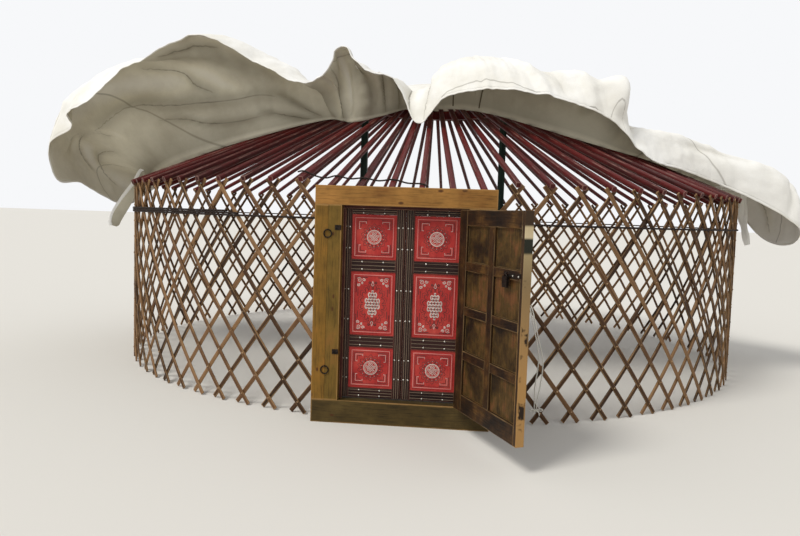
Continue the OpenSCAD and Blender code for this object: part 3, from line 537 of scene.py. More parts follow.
oiled = pine("oiled pine", (0.3, "#7f5426"), (0.5, "#956a33"), (0.7, "#a9783c"), knots=0.07)
ochre = pine("ochre-stained pine", (0.3, "#6a4d1b"), (0.5, "#7e5c22"), (0.62, "#8a6224"), (0.75, "#99642a"))
olive = pine("ochre-stained heartwood", (0.3, "#594319"), (0.5, "#6d5420"), (0.62, "#785b25"),
             (0.75, "#835d29"))
# The threshold is dark from treading and darker still with painted shade
trodden_and_shaded = pine("pine worn by feet, with painted shade", (0.3, "#392d14"), (0.5, "#48391a"), (0.7, "#594824"))
for node, material, axis in (("threshold", trodden_and_shaded, "x"), ("left_jamb", ochre, "z"),
                             ("right_jamb", ochre, "z"), ("lintel", oiled, "x")):
    low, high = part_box(node)
    if node == "left_jamb":
        joint = low.x + 0.088
        plank = boards("left_jamb_inner_plank", [((joint, low.y, low.z), high, "z")], olive, 0.002, seed=3)
        keep(plank, "tent_frame", slots[node])
        high = Vector((joint - SEAT, high.y, high.z))
    piece = boards(node + "_board", [(low, high, axis)], material, 0.003, seed=len(node))
    if node == "left_jamb":
        for mesh, way in ((piece.data, -0.02), (plank.data, 0.02)):
            for vertex in range(len(mesh.vertices)):
                mesh.attributes["grain"].data[vertex].vector.y += way
                mesh.attributes["half"].data[vertex].vector.y += 0.02
    keep(piece, "tent_frame", slots[node], node)

# Stop strips: thin dark red strips nailed inside the doorway, on which the inner leaves shut
stop_red = painted("stop oil paint", "#2a0c0c", "#4a1a16", "#7d5a44", 0.0125)
low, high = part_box("door_stop")
parts = [((low.x, low.y, low.z), (low.x + 0.020, high.y, high.z - 0.0200), "z"),
         ((high.x - 0.020, low.y, low.z), (high.x, high.y, high.z - 0.0200), "z"),
         ((low.x, low.y, high.z - 0.0197), high, "x")]
stops = boards("door_stop_strips", parts, stop_red, 0.0015, seed=9)
keep(stops, "tent_frame", "stop_paint", "door_stop")


# Inner leaves: a pair of panelled leaves that shut flush with the inside. Stiles and rails
# are painted nearly black, with three fine beads along each and rows of domed nails; each
# has three red panels with a raised field.
HALF_DOORWAY, SIDE_GAP, LEAF_FOOT, LEAF_H = 0.408, 0.006, 0.159, 1.259
INNER_W, INNER_T, HINGE_STILE, MEET_STILE = 0.398, 0.035, 0.050, 0.054
INNER_PANEL_W, FIELD_INSET = INNER_W - HINGE_STILE - MEET_STILE, 0.014
BEAD_OUT, NAIL_OUT = 0.0006, 0.0018
PANELS = [(0.063, 0.336), (0.416, 0.837), (0.917, 1.211)]
frame_black = painted("door oil paint", "#180a08", "#321915", "#5a3b30", 0.0125)
panel_red = timber("red oil paint", 0.012, [(0.3, "#942424"), (0.5, "#b0332f"), (0.7, "#c04a40")],
                   (0.8, (0.3, 0.82), (0.55, 1.0)), (0.25, 0.001, "Fibres"), 0.42)
bead_grey = painted("bead oil paint", "#45352d", "#7c6a58", "#7c6a58", 0.0)
line_paints = {"pink": painted("pale pink oil paint", "#c4706a", "#dc9a92", "#dc9a92", 0.0),
               "pale": painted("grey-white oil paint", "#b9a8a0", "#d8cdc4", "#d8cdc4", 0.0),
               "dark": painted("dark line paint", "#3c1e20", "#5c3634", "#5c3634", 0.0)}
tin = mottled("tinned nail", [(0.3, "#b4b0a6"), (0.7, "#f0ece2")], (180.0, 180.0, 180.0), 0.35, metallic=0.5)


def rounded(middle, across, up, turns=1.0, start=0.0, shrink=0.0, steps=24):
    """Points of a circle, an oval or a curl about the middle, as (right, up) pairs."""
    made = []
    for k in range(steps + 1):
        turn, size = start + 2 * pi * turns * k / steps, 1 - shrink * k / steps
        made.append((middle[0] + across * size * cos(turn), middle[1] + up * size * sin(turn)))
    return made


def four_ways(line):
    """A line and its mirror images in both middle lines of a panel."""
    return [[(u * right, v * up) for u, v in line] for right in (-1, 1) for up in (-1, 1)]


def knot_of(across, up, lines):
    """An endless knot in a lozenge: straight runs both ways, joined in pairs by loops outside."""
    made, places = [], [-1 + (2 * k + 1) / lines for k in range(lines)]
    runs = [[(s, t / 4 - 1) for t in range(9)] for s in places]
    for end in (-1, 1):
        for k in range(0 if end > 0 else 1, lines - 1, 2):
            runs.append([(places[k] + (1 - cos(pi * j / 6)) / lines,
                          end * (1 + 0.9 * sin(pi * j / 6) / lines)) for j in range(7)])
    for run in runs:
        for turned in (run, [p[::-1] for p in run]):
            made.append([((a - b) * across / 2, (a + b) * up / 2) for a, b in turned])
    return made


def petals(inner, outer, stretch, count):
    """Pointed petals round an oval, each an open line from its root to its tip and back."""
    made = []
    for k in range(count):
        turn = 2 * pi * (k + 0.5) / count
        made.append([(r * cos(turn + w / count), r * stretch * sin(turn + w / count))
                     for r, w in ((inner, -2.2), ((inner + outer) / 2, -2.4), (outer, 0),
                                  ((inner + outer) / 2, 2.4), (inner, 2.2))])
    return made


def panel_lines(wide, tall):
    """The painted lines of one panel, half its field wide and tall: (kind, width, points)."""
    sets = []
    for kind, width, inset, last in (("pink", 1.0, 0.008, 0.0055), ("dark", 0.4, 0.017, 0.0165)):
        u, v = wide - inset, tall - inset
        sets.append((kind, width, [[(-u, -v), (u, -v), (u, v), (-u, v), (-u, last - tall)]]))
    u, v = wide - 0.024, tall - 0.024
    if tall < 1.2 * wide:
        sets += [("dark", 0.9, four_ways([(u - 0.062, v), (u, v), (u, v - 0.062)])),
                 ("pale", 0.6, four_ways([(u - 0.056, v - 0.022), (u - 0.056, v - 0.010),
                                          (u - 0.010, v - 0.010), (u - 0.010, v - 0.056),
                                          (u - 0.022, v - 0.056)])),
                 ("dark", 0.8, four_ways([(u - 0.044, v - 0.020), (u - 0.020, v - 0.020),
                                          (u - 0.020, v - 0.044)])),
                 ("pale", 1.1, [rounded((0, 0), 0.045, 0.045)]),
                 ("pale", 0.5, [rounded((0, 0), 0.037, 0.037)]),
                 ("pale", 0.75, knot_of(0.032, 0.032, 4)), ("dark", 0.9, petals(0.050, 0.070, 1.0, 14)),
                 ("pale", 0.35, petals(0.054, 0.066, 1.0, 14)), ("dark", 0.6, petals(0.066, 0.088, 1.0, 14))]
    else:
        across, up, places = 0.050, 0.098, (-0.6, -0.2, 0.2, 0.6)
        gaps = [((a - b) * across / 2, (a + b) * up / 2) for a in places for b in places]
        for x, y, size, turn in ((0.020, 0.018, 0.016, 0.6), (0.050, 0.014, 0.011, 2.8),
                                 (0.014, 0.050, 0.011, 2.2), (0.040, 0.036, 0.008, 4.0)):
            sets.append(("pale", 0.75, four_ways(rounded((u - x, v - y), size, size, 1.4, turn, 0.8))))
        sets += [("dark", 0.9, four_ways([(u - 0.075, v), (u, v), (u, v - 0.100)])),
                 ("dark", 0.8, four_ways([(u - 0.012, v - 0.075), (u - 0.012, v - 0.125)])),
                 ("pale", 1.45, knot_of(across, up, 5)),
                 ("dark", 1.1, [[(x, y - 0.0035), (x, y + 0.0035)] for x, y in gaps]),
                 ("dark", 0.8, petals(0.062, 0.082, 1.55, 16)), ("dark", 0.5, petals(0.078, 0.098, 1.5, 16)),
                 ("pale", 0.6, four_ways([(0, 0.116), (0.008, 0.124), (0, 0.150)])),
                 ("dark", 0.8, four_ways(rounded((0.020, 0.140), 0.010, 0.009, 1.2, 3.1, 0.7)))]
    return [(kind, width, line) for kind, width, lines in sets for line in lines]


bump = pattern("domed nail", [(0.0055, 0.0), (0.0048, 0.0018), (0.0026, 0.0032)], 8)
front = Vector((0, -1, 0))
for side, word in ((-1, "left"), (1, "right")):
    body = f"inner_{word}_leaf"

    def at(x, y, z):
        """A point of the leaf, from its hinge edge, its face and its foot."""
        return Vector((side * (HALF_DOORWAY - SIDE_GAP - x), y, LEAF_FOOT + z))

    def span(x0, x1, y0, y1, z0, z1, axis):
        """A board of the leaf, between two of its corners."""
        a, b = at(x0, y0, z0), at(x1, y1, z1)
        return Vector(map(min, a, b)), Vector(map(max, a, b)), axis

    rails = list(zip([0, *(top for _, top in PANELS)], [*(foot for foot, _ in PANELS), LEAF_H]))
    parts = [span(0, HINGE_STILE, 0, INNER_T, 0, LEAF_H, "z"),
             span(INNER_W - MEET_STILE, INNER_W, 0, INNER_T, 0, LEAF_H, "z")]
    parts += [span(HINGE_STILE, INNER_W - MEET_STILE, 0, INNER_T, z0, z1, "x") for z0, z1 in rails]
    # Draught strips on the meeting edge
    for y0, y1, proud in ((0.022, 0.033, 0.0046 if side < 0 else 0.0015),
                          (0.004, 0.015, 0.0004 if side < 0 else 0.0010)):
        parts.append(span(INNER_W - 0.0005, INNER_W + proud, y0, y1, 0.002, LEAF_H - 0.002, "z"))
    piece = boards(f"inner_{word}_boards", parts, frame_black, 0.0012, seed=21 + side)
    keep(piece, body, "inner_stile_paint", f"inner_{word}_frame")
    parts = []
    for z0, z1 in PANELS:
        for inset, y0, y1 in ((SEAT, 0.007, 0.023), (FIELD_INSET, 0.004, 0.008)):
            parts.append(span(HINGE_STILE + inset, INNER_W - MEET_STILE - inset, y0, y1,
                              z0 + inset, z1 - inset, "z"))
    piece = boards(f"inner_{word}_fields", parts, panel_red, 0.0015, seed=31 + side)
    keep(piece, body, "red_panel_paint", f"inner_{word}_panels")

    # Beads and nails of the stiles and rails
    lines, spots = [], []
    for offset, full in ((0, HINGE_STILE), (INNER_W - MEET_STILE, MEET_STILE)):
        for share in (0.24, 0.5, 0.76):
            x = offset + full * share
            line = [at(x, -BEAD_OUT, 0.003 + k * (LEAF_H - 0.006) / 4) for k in range(5)]
            lines.append((line, [front] * 5, dice.random(), None))
        for z0, z1 in PANELS:
            for share in (0.25, 0.72):
                for across in (0.24, 0.76):
                    spots.append((at(offset + full * across, -NAIL_OUT, z0 + (z1 - z0) * share), front))
    for z0, z1 in rails:
        for share in (0.2, 0.5, 0.8):
            line = [at(HINGE_STILE + 0.002 + k * 0.097, -BEAD_OUT, z0 + (z1 - z0) * share)
                    for k in range(4)]
            lines.append((line, [front] * 4, dice.random(), None))
        for along in (0.25, 0.72):
            for share in (0.2, 0.8):
                x = HINGE_STILE + INNER_PANEL_W * along
                spots.append((at(x, -NAIL_OUT, z0 + (z1 - z0) * share), front))
    keep(bars(f"inner_{word}_beads", lines, 0.0045, 0.0030, 0.001, bead_grey), body, "inner_stile_paint")
    keep(studded(f"inner_{word}_nails", spots, bump, 0.85, 5 + side, tin), body, "iron")

    # Painted ornament: a medallion above and below, and a long endless knot between them
    drawn = {"pink": [], "pale": [], "dark": []}
    for z0, z1 in PANELS:
        middle = (HINGE_STILE + INNER_W - MEET_STILE) / 2, (z0 + z1) / 2
        for kind, wide, line in panel_lines(INNER_PANEL_W / 2 - FIELD_INSET, (z1 - z0) / 2 - FIELD_INSET):
            flat = [at(middle[0] - side * u, 0.0039, middle[1] + v) for u, v in line]
            drawn[kind].append((flat, [front] * len(flat), dice.random(), [wide] * len(flat)))
    for kind, lines in drawn.items():
        piece = bars(f"inner_{word}_{kind}_lines", lines, 0.005, 0.0012, 0.0003, line_paints[kind])
        keep(piece, body, "red_panel_paint")


# Outer leaf: one heavy leaf of weathered, once varnished boards with two rows of four sunk
# panels, standing open. Its corners and its free edge are bare and pale from handling.
def aged(name, *stains, bare, depth, handled=0):
    """Old varnish: dark in the panels, thin and scratched where hands and weather reach."""
    return timber(name, 0.010, stains, (0.8, (0.34, 0.45), (0.6, 1.0)), (0.6, 0.004, "Streaks"), 0.55,
                  [(depth, 0.8), (depth + 0.0035, 0.0)], bare, handled=handled)


OUTER_W, OUTER_T, BACK_STILE, MID_STILE, FREE_STILE = 0.804, 0.050, 0.104, 0.064, 0.034
OUTER_RAILS = [(0, 0.110), (0.332, 0.387), (0.609, 0.664), (0.886, 0.941), (1.163, LEAF_H)]
leaf_turn = (Matrix.Translation((0.406, -0.0923, LEAF_FOOT)) @ Matrix.Rotation(radians(115.5), 4, "Z")
             @ Matrix.Translation((-0.004, 0.0123, 0)))
PANEL_W = (OUTER_W - BACK_STILE - MID_STILE - FREE_STILE) / 2
varnish = aged("weathered varnish", (0.36, "#180c03"), (0.48, "#2a1907"), (0.58, "#402910"),
               (0.68, "#5c401d"), bare="#8a6e4a", depth=0.0097)
panel_varnish = aged("weathered panel varnish", (0.36, "#201507"), (0.46, "#3b2a11"), (0.55, "#533e1c"),
                     (0.66, "#6d4728"), bare="#7c6440", depth=0.0105)
bare_stile = aged("handled stile", (0.3, "#22150b"), (0.5, "#352313"), (0.7, "#4d3620"),
                  bare="#b89468", depth=0.0130, handled=LEAF_H)
columns = (-BACK_STILE - PANEL_W, -OUTER_W + FREE_STILE)
parts = [((-BACK_STILE, 0, 0), (0, OUTER_T, LEAF_H), "z"),
         ((columns[0] - MID_STILE, 0, OUTER_RAILS[0][1]), (columns[0], OUTER_T, OUTER_RAILS[-1][0]), "z")]
for low, high in OUTER_RAILS[1:-1]:
    parts += [((x, 0, low), (x + PANEL_W, OUTER_T, high), "x") for x in columns]
for low, high in (OUTER_RAILS[0], OUTER_RAILS[-1]):
    parts.append(((-OUTER_W + FREE_STILE, 0, low), (-BACK_STILE, OUTER_T, high), "x"))
leaf = boards("outer_leaf_boards", parts, varnish, 0.003, leaf_turn, seed=41)
keep(leaf, "outer_leaf", "outer_leaf_wood", "outer_leaf_frame")
leaf = boards("outer_leaf_free_stile", [((-OUTER_W, 0, 0), (-OUTER_W + FREE_STILE, OUTER_T, LEAF_H), "z")],
              bare_stile, 0.003, leaf_turn, seed=43)
keep(leaf, "outer_leaf", "outer_leaf_wood")
parts = []
for (_, low), (high, _) in zip(OUTER_RAILS, OUTER_RAILS[1:]):
    for x in columns:
        parts.append(((x + SEAT, 0.015, low + SEAT), (x + PANEL_W - SEAT, 0.035, high - SEAT), "z"))
leaf = boards("outer_leaf_fields", parts, panel_varnish, 0.001, leaf_turn, seed=47)
keep(leaf, "outer_leaf", "outer_leaf_wood", "outer_leaf_panels")

# Ironwork: straps with rolled eyes that turn on pins in the jambs, and two tie rings held
# by staples; all forged, black from oil with rust at the edges
iron = mottled("forged iron", [(0.35, "#1b1917"), (0.6, "#332b26"), (0.75, "#5b4030")], (55.0, 55.0, 55.0),
               [(0.4, 0.35), (0.7, 0.7)], 4.0, 0.7, (0.5, 0.001), 0.8)
for node in ("inner_left_hinges", "inner_right_hinges", "outer_leaf_hinges", "outer_leaf_hasp", "hinge_pins",
             "jamb_rings"):
    dress(node, iron)

# Two tinned nails through the hasp into its rail
face = leaf_turn.to_3x3() @ Vector((0, 1, 0))
spots = [(leaf_turn @ Vector((x, OUTER_T + 0.0041, 0.909)), face) for x in (-0.762, -0.700)]
keep(studded("outer_leaf_hasp_nails", spots, bump, 1.0, 2, tin), "outer_leaf", "iron")

# Plates on the left jamb's inner edge, over the ends of the leaf's hinge pins, each with two nails
low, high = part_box("left_jamb")
PLATE_Z = (0.472, 1.280)
parts = [((high.x - 0.042, low.y - 0.0032, z - 0.016), (high.x - 0.001, low.y - 0.0002, z + 0.016), "x")
         for z in PLATE_Z]
spots = [(Vector((high.x - x, low.y - 0.0034, z)), front) for z in PLATE_Z for x in (0.010, 0.033)]
keep(boards("jamb_plates", parts, iron, 0.001), "tent_frame", "iron")
keep(studded("jamb_plate_nails", spots, bump, 0.8, 8, iron), "tent_frame", "iron")


# Girth rope: dark horse-hair rope, twisted of three strands, drawn round the wall
def twisted(name, distortion, stops, bump):
    """Rope: bands across it, dark between its strands, follow its lay."""
    material, tree, shader = finish(name)
    where = add(tree, "UVMap", uv_map="rope")
    lay = add(tree, "TexWave", {"Vector": where, "Scale": 1.0, "Distortion": distortion,
                                "Detail": 1.0}, wave_type="BANDS", bands_direction="DIAGONAL")
    relief = add(tree, "Bump",
                 {"Strength": bump[0], "Distance": bump[1], "Height": lay.outputs["Fac"]})
    give(shader, {"Base Color": shades(add(tree, "ValToRGB", {0: lay.outputs["Fac"]}), *stops),
                  "Normal": relief, "Roughness": 0.85})
    return material


def rope(name, line, radius, lay_length, material, sides=10):
    """A rope as a closed tube along a line, with a UV map that its lay follows."""
    shell = bmesh.new()
    skin = shell.loops.layers.uv.new("rope")
    rings, far, normal = [], [0.0], None
    for k, point in enumerate(line):
        ahead = (line[min(k + 1, len(line) - 1)] - line[max(k - 1, 0)]).normalized()
        if normal is None:
            normal = ahead.orthogonal().normalized()
        normal = (normal - ahead * normal.dot(ahead)).normalized()
        other = ahead.cross(normal)
        rings.append([shell.verts.new(point + radius * (normal * cos(2 * pi * j / sides)
                                                        + other * sin(2 * pi * j / sides)))
                      for j in range(sides)])
        if k:
            far.append(far[-1] + (point - line[k - 1]).length)
    for k in range(len(rings) - 1):
        for j in range(sides):
            face = shell.faces.new((rings[k][j], rings[k][(j + 1) % sides],
                                    rings[k + 1][(j + 1) % sides], rings[k + 1][j]))
            face.smooth = True
            for loop, (along, turn) in zip(face.loops, ((k, j), (k, j + 1), (k + 1, j + 1), (k + 1, j))):
                loop[skin].uv = (far[along] / lay_length * pi / 5, 3 * turn / sides * pi / 5)
    shell.faces.new(rings[0][::-1])
    shell.faces.new(rings[-1])
    return placed(name, meshed(name, shell), material)


hair = twisted("twisted horse hair", 0.6, [(0.2, "#120e0c"), (0.7, "#3b2f28")], (0.8, 0.003))
HAIR_R, GIRTH_Z = 0.007, 1.335
GIRTH_R = OUTER_R + SEAT + HAIR_R
start = asin(HALF_FRAME / (GIRTH_R - HAIR_R)) + 0.001
line = [ring(GIRTH_R, start + (2 * pi - 2 * start) * k / 420, GIRTH_Z) for k in range(421)]
girth = rope("wall_girth_rope", line, HAIR_R, 0.035, hair)

# Spare length of the girth rope, laid back on top of it twice on the left of the door
spare = []
for k, (first, last, lift) in enumerate(((-86, -24, 0.0144), (-84, -26, 0.0288))):
    steps = 2 * (last - first)
    line = [ring(GIRTH_R + 0.0015 * sin(0.35 * step + k), radians(first + step / 2),
                 GIRTH_Z + lift + 0.0006 * sin(0.23 * step)) for step in range(steps + 1)]
    spare.append(rope(f"wall_girth_spare_{k + 1}", line, HAIR_R, 0.035, hair))


def through(values, t):
    """Smooth curve through four values, between the second and the third."""
    p, q, r, s = values
    return q + t / 2 * (r - p + t * (2 * p - 5 * q + 4 * r - s + t * (3 * (q - r) + s - p)))


def smooth(route, count):
    """Points of a smooth curve through those of a route."""
    ends = [route[0], *route, route[-1]]
    made = []
    for k in range(count + 1):
        at = (len(route) - 1) * k / count
        step = min(int(at), len(route) - 2)
        made.append([through(values, at - step) for values in zip(*ends[step:step + 4])])
    return made


def along_wall(route, count):
    """Points of a rope from its route: angle from the door, distance out from the middle of
    the wall, and height, in degrees and millimetres."""
    return [ring(WALL_R + out / 1000, radians(angle), height / 1000)
            for angle, out, height in smooth(route, count)]


# A second hair rope holds down the feet of the door poles, from a wall pole to the lintel
lintel_rope = rope("lintel_hair_rope", along_wall([
    (-14.9, -18, 1640.6), (-13.96, -22, 1645.2), (-12.4, -40, 1614), (-11, -46, 1604), (-9.6, -50, 1619),
    (-7.7, -44, 1601), (-5.8, -50, 1608), (-3.85, -44, 1592), (-1.9, -50, 1602.4), (0, -34, 1581),
    (1.9, 6, 1577), (2.7, 20, 1556)], 88), 0.0055, 0.028, hair)
for piece in (girth, *spare, lintel_rope):
    keep(piece, "tent_frame", "hair_rope")
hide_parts("hair_ropes")

# Tie rope: white cotton rope that ties the door's felt, hitched to a lath on the right of the
# door, with both its ends hanging in a bow
cotton_rope = twisted("twisted white cotton", 0.4, [(0.15, "#bdb9ac"), (0.6, "#f2efe6")], (0.7, 0.002))
TIE_R, BOW_KNOT_H = 0.004, 0.022
tie_lines = [along_wall(route, 72) for route in (
    [(16.1, 12.4, 806), (16.14, 23, 803), (16.24, 29, 786), (16.5, 30, 738), (16.95, 28, 650),
     (17.5, 27, 540), (17.75, 26, 455), (17.65, 25, 370), (17.4, 26, 260), (17.42, 28, 180),
     (17.45, 28, 118)],
    [(16.35, 12.4, 806), (16.4, 23, 802), (16.52, 29, 784), (16.8, 30, 738), (17.25, 28, 650),
     (17.85, 27, 540), (18.3, 26, 455), (18.35, 25, 370), (18.1, 26, 260), (17.8, 28, 180),
     (17.75, 28, 118)])]
bow_at = (tie_lines[0][-1] + tie_lines[1][-1]) / 2 - Vector((0, 0, SEAT + BOW_KNOT_H / 2))
bow_turn = Matrix.Translation(bow_at) @ Matrix.Rotation(radians(17.6), 4, "Z")
bow = []
for k, route in enumerate((
        [(-3, -5, 11), (3, -7, 4), (8, -3, -3), (3, 4, -6), (-6, 3, 0), (-7, -5, 4), (0, -9, 1),
         (7, -6, -5)],
        [(2, -2, 2), (16, -8, 9), (36, -10, 12), (50, -6, 3), (42, -2, -5), (22, -2, -2), (3, -1, -1)],
        [(-2, -2, 2), (-15, -8, 8), (-32, -12, 10), (-45, -6, 0), (-36, 0, -6), (-18, 0, -3), (-3, -1, -1)],
        [(2, -2, -2), (14, -8, -6), (24, -9, -18), (26, -8, -34)],
        [(-2, -2, -2), (-10, -8, -8), (-17, -10, -20), (-15, -9, -31)])):
    line = [bow_turn @ (Vector(spot) / 1000) for spot in smooth(route, 40)]
    bow.append(rope(f"tie_rope_bow_{k}", line, TIE_R, 0.018, cotton_rope))
    keep(bow[k], "tent_frame", "white_rope", *(["tie_rope_bow"] if k == 0 else []))
for k, line in enumerate(tie_lines):
    strand = rope(f"tie_rope_{k + 1}", line, TIE_R, 0.018, cotton_rope)
    keep(strand, "tent_frame", "white_rope", *(["tie_rope"] if k == 0 else []))


# Roof cover: one sheet of off-white canvas, sewn of strips, drawn across the crown from one
# side to the other. The wind has lifted its front edge: on the left it bellies up in long
# folds, in the middle a corner hangs in front of the poles, and on the right it curls over.
STRIP_W = 0.92


def canvas(name, lit, stained, soiled_and_shaded):
    """Heavy cotton canvas, sewn of strips: stains; a tone that darkens it with painted shade, and
    a little all over, and lightens it with painted light; dark lines of painted shade along its
    creases; and threads drawn 2.4 mm apart, coarser than real ones, to show."""
    material, tree, shader = finish(name)
    where = add(tree, "TexCoord").outputs["Object"]
    stain = add(tree, "TexNoise", {"Vector": where, "Scale": 2.2, "Detail": 6.0, "Roughness": 0.62})
    cloth = shades(add(tree, "ValToRGB", {0: stain}), (0.36, stained), (0.58, lit))
    # The tone mixes in the soiled and shaded colour, as painted shade and an even darkening, and below 0 a
    # near white, as painted light
    tone = add(tree, "Attribute", attribute_name="tone").outputs["Fac"]
    soil_and_shade = add(tree, "MapRange", {"Value": tone, "To Max": 0.8})
    cloth = add(tree, "Mix", {0: soil_and_shade, 6: cloth, 7: linear(soiled_and_shaded)}, data_type="RGBA")
    painted_light = add(tree, "MapRange", {"Value": tone, "From Min": -1.0, "From Max": 0.0,
                                   "To Min": 1.0, "To Max": 0.0})
    cloth = add(tree, "Mix", {0: painted_light, 6: cloth.outputs[2], 7: linear("#f4f2ec")}, data_type="RGBA")
    threads = add(tree, "TexNoise", {"Vector": where, "Scale": 420.0, "Detail": 2.0})
    flecks = shades(add(tree, "ValToRGB", {0: threads}), (0.3, 0.93), (0.6, 1.0))
    cloth = add(tree, "Mix", {0: 1.0, 6: cloth.outputs[2], 7: flecks}, data_type="RGBA",
                blend_type="MULTIPLY")
    cut = add(tree, "SeparateXYZ", {0: add(tree, "UVMap", uv_map="cloth")})
    strip = cut.outputs[1]
    for how, value in (("DIVIDE", STRIP_W), ("FRACT", 0.0), ("SUBTRACT", 0.5), ("ABSOLUTE", 0.0)):
        strip = add(tree, "Math", {0: strip, 1: value}, operation=how)
    seam = shades(add(tree, "ValToRGB", {0: strip}), (0.004, 0.4), (0.009, 0.0))
    # Dark lines of painted shade along the creases, drawn in the seams' colour
    crease = add(tree, "Attribute", attribute_name="crease").outputs["Fac"]
    crease = add(tree, "Math", {0: crease}, operation="ABSOLUTE")
    crease = shades(add(tree, "ValToRGB", {0: crease}), (0.001, 0.75), (0.009, 0.0))
    close = add(tree, "Attribute", attribute_name="close").outputs["Fac"]
    crease = add(tree, "Math", {0: crease, 1: close}, operation="MULTIPLY")
    seam = add(tree, "Math", {0: seam, 1: crease}, operation="MAXIMUM")
    cloth = add(tree, "Mix", {0: seam, 6: cloth.outputs[2], 7: linear("#5c5442")}, data_type="RGBA")
    creases = add(tree, "TexNoise", {"Vector": where, "Scale": 14.0, "Detail": 5.0, "Roughness": 0.6})
    relief = add(tree, "Math", {0: threads, 1: 0.12, 2: creases}, operation="MULTIPLY_ADD")
    relief = add(tree, "Bump", {"Strength": 0.35, "Distance": 0.010, "Height": relief})
    give(shader, {"Base Color": cloth.outputs[2], "Normal": relief, "Roughness": 0.9})
    return material


# One canvas in two copies: a lighter one for the top side, as painted light, and a darker one for the
# underside, as painted shade
lit_canvas = canvas("cotton canvas, top with painted light", "#f8f7f3", "#ece9e0", "#c9c4b6")
cotton = canvas("cotton canvas, underside with painted shade", "#d8d2be", "#c5beaa", "#696250")
RIM_W, RIM_H, BOW_RISE, BOSS_R, COVER_SEAT, COVER_T = 0.066, 0.092, 0.150, 0.0736, 0.0012, 0.0035
RIM_IN, RIM_TOP = CROWN_R - RIM_W, CROWN_Z + RIM_H / 2
BOW_R = (RIM_IN ** 2 + BOW_RISE ** 2) / (2 * BOW_RISE)
ROOF_RISE = atan((CROWN_Z - wall_seat) / (OUTER_R - CROWN_R))
# Angle from the door in degrees, then in millimetres the radius where the sheet leaves the
# poles, the radius and height of the point that shapes the free flap, and those of its edge
SHEET = [
    (-180, 860, 880, 2498, 900, 2492),
    (-150, 860, 880, 2498, 900, 2492),
    (-125, 860, 890, 2496, 920, 2486),
    (-110, 1000, 1060, 2430, 1120, 2405),
    (-101, 1700, 1780, 2140, 1860, 2100),
    (-93, 2700, 2900, 1800, 3000, 1640),
    (-86, 2880, 3600, 1900, 3280, 1400),
    (-78, 2800, 3850, 2250, 3560, 1640),
    (-70, 2640, 3500, 2700, 3740, 2040),
    (-62, 2450, 2900, 2900, 3300, 2500),
    (-54, 2200, 2360, 2940, 2960, 2590),
    (-46, 1980, 1980, 2860, 2600, 2770),
    (-38, 1760, 1740, 2700, 2230, 2590),
    (-30, 1640, 1640, 2520, 2100, 2430),
    (-24, 1700, 1700, 2500, 2020, 2460),
    (-19, 1760, 1720, 2700, 1960, 2680),
    (-13, 1600, 1560, 2600, 1960, 2500),
    (-7, 1400, 1420, 2560, 1800, 2460),
    (-1, 1400, 1560, 2640, 1840, 2110),
    (5, 1380, 1480, 2900, 1900, 2300),
    (14, 1360, 1500, 3060, 1960, 2370),
    (24, 1460, 1600, 2980, 2060, 2360),
    (34, 1720, 1860, 2920, 2160, 2290),
    (42, 1980, 2100, 2860, 2280, 2170),
    (50, 2160, 2260, 2420, 2420, 1900),
    (57, 2250, 2480, 2330, 2560, 1830),
    (66, 2400, 2860, 2280, 2860, 1700),
    (76, 2600, 3480, 2140, 3460, 1440),
    (86, 2700, 3500, 1860, 3300, 1380),
    (93, 2600, 2880, 1780, 2980, 1640),
    (101, 1700, 1780, 2140, 1860, 2100),
    (110, 1000, 1060, 2430, 1120, 2405),
    (125, 860, 890, 2496, 920, 2486),
    (150, 860, 880, 2498, 900, 2492)]


def sheet_row(angle):
    """The five lengths of the table at an angle in degrees, in metres."""
    at = max(i for i, row in enumerate(SHEET) if row[0] <= angle)
    near = [SHEET[(at + k) % len(SHEET)] for k in (-1, 0, 1, 2)]
    ahead = near[2][0] + (360 if near[2][0] < near[1][0] else 0)
    t = (angle - near[1][0]) / (ahead - near[1][0])
    return [through([row[column] for row in near], t) / 1000 for column in range(1, 6)]


def on_poles(radius):
    return CROWN_Z - (radius - CROWN_R) * tan(ROOF_RISE) + POLE_W / 2 / cos(ROOF_RISE) + COVER_SEAT


# Where the edge turns over and shows its lighter top side: angle and half width in degrees, and
# how far it comes forward, down and in, in metres
ROLLS = [(-62.5, 4.6, 0.28, 0.24, 0.00), (-68.5, 2.4, 0.00, 0.02, 0.20), (-75.0, 2.4, 0.15, 0.17, 0.00),
         (82.0, 7.0, -0.06, 0.16, 0.00)]


def spread(angle, along):
    """A point of the sheet: along runs from -2 at the middle, by -1 and -0.9 at the edges of the
    crown's rim, -0.8 where it meets the poles and 0 where it leaves them, to 1 at its edge."""
    lift, mid_r, mid_z, edge_r, edge_z = sheet_row(angle)
    if along <= -1:
        radius = 0.001 + (RIM_IN - 0.001) * (along + 2)
        height = RIM_TOP + BOW_RISE - BOW_R + sqrt(BOW_R ** 2 - max(radius, BOSS_R) ** 2) + 2 * COVER_SEAT
    elif along <= 0:
        corner, start = CROWN_R + 0.005, CROWN_R + RIM_W
        if along < -0.9:
            radius, height = RIM_IN + (corner - RIM_IN) * (along + 1) * 10, RIM_TOP + 2 * COVER_SEAT
        elif along < -0.8:
            share = (along + 0.9) * 10
            radius = corner + (start - corner) * share
            height = (RIM_TOP + 2 * COVER_SEAT) * (1 - share) + (on_poles(start) + 0.002) * share
        else:
            radius = start + (lift - start) * (along + 0.8) / 0.8
            height = on_poles(radius) + 0.002 * along / -0.8
    else:
        radius, height = (((1 - along) ** 2 * a + 2 * along * (1 - along) * b + along ** 2 * c)
                          for a, b, c in ((lift, mid_r, edge_r), (on_poles(lift), mid_z, edge_z)))
    point = ring(radius, radians(angle), height)
    for middle, half, forward, down, within in ROLLS:
        turned = max(0, (along - 0.72) / 0.28) * exp(-((angle - middle) / half) ** 2)
        across = Vector((cos(radians(angle)), sin(radians(angle)), 0))
        inward = Vector((across.y, -across.x, 0))
        point += (across * forward - inward * within - Vector((0, 0, down))) * turned
    return point


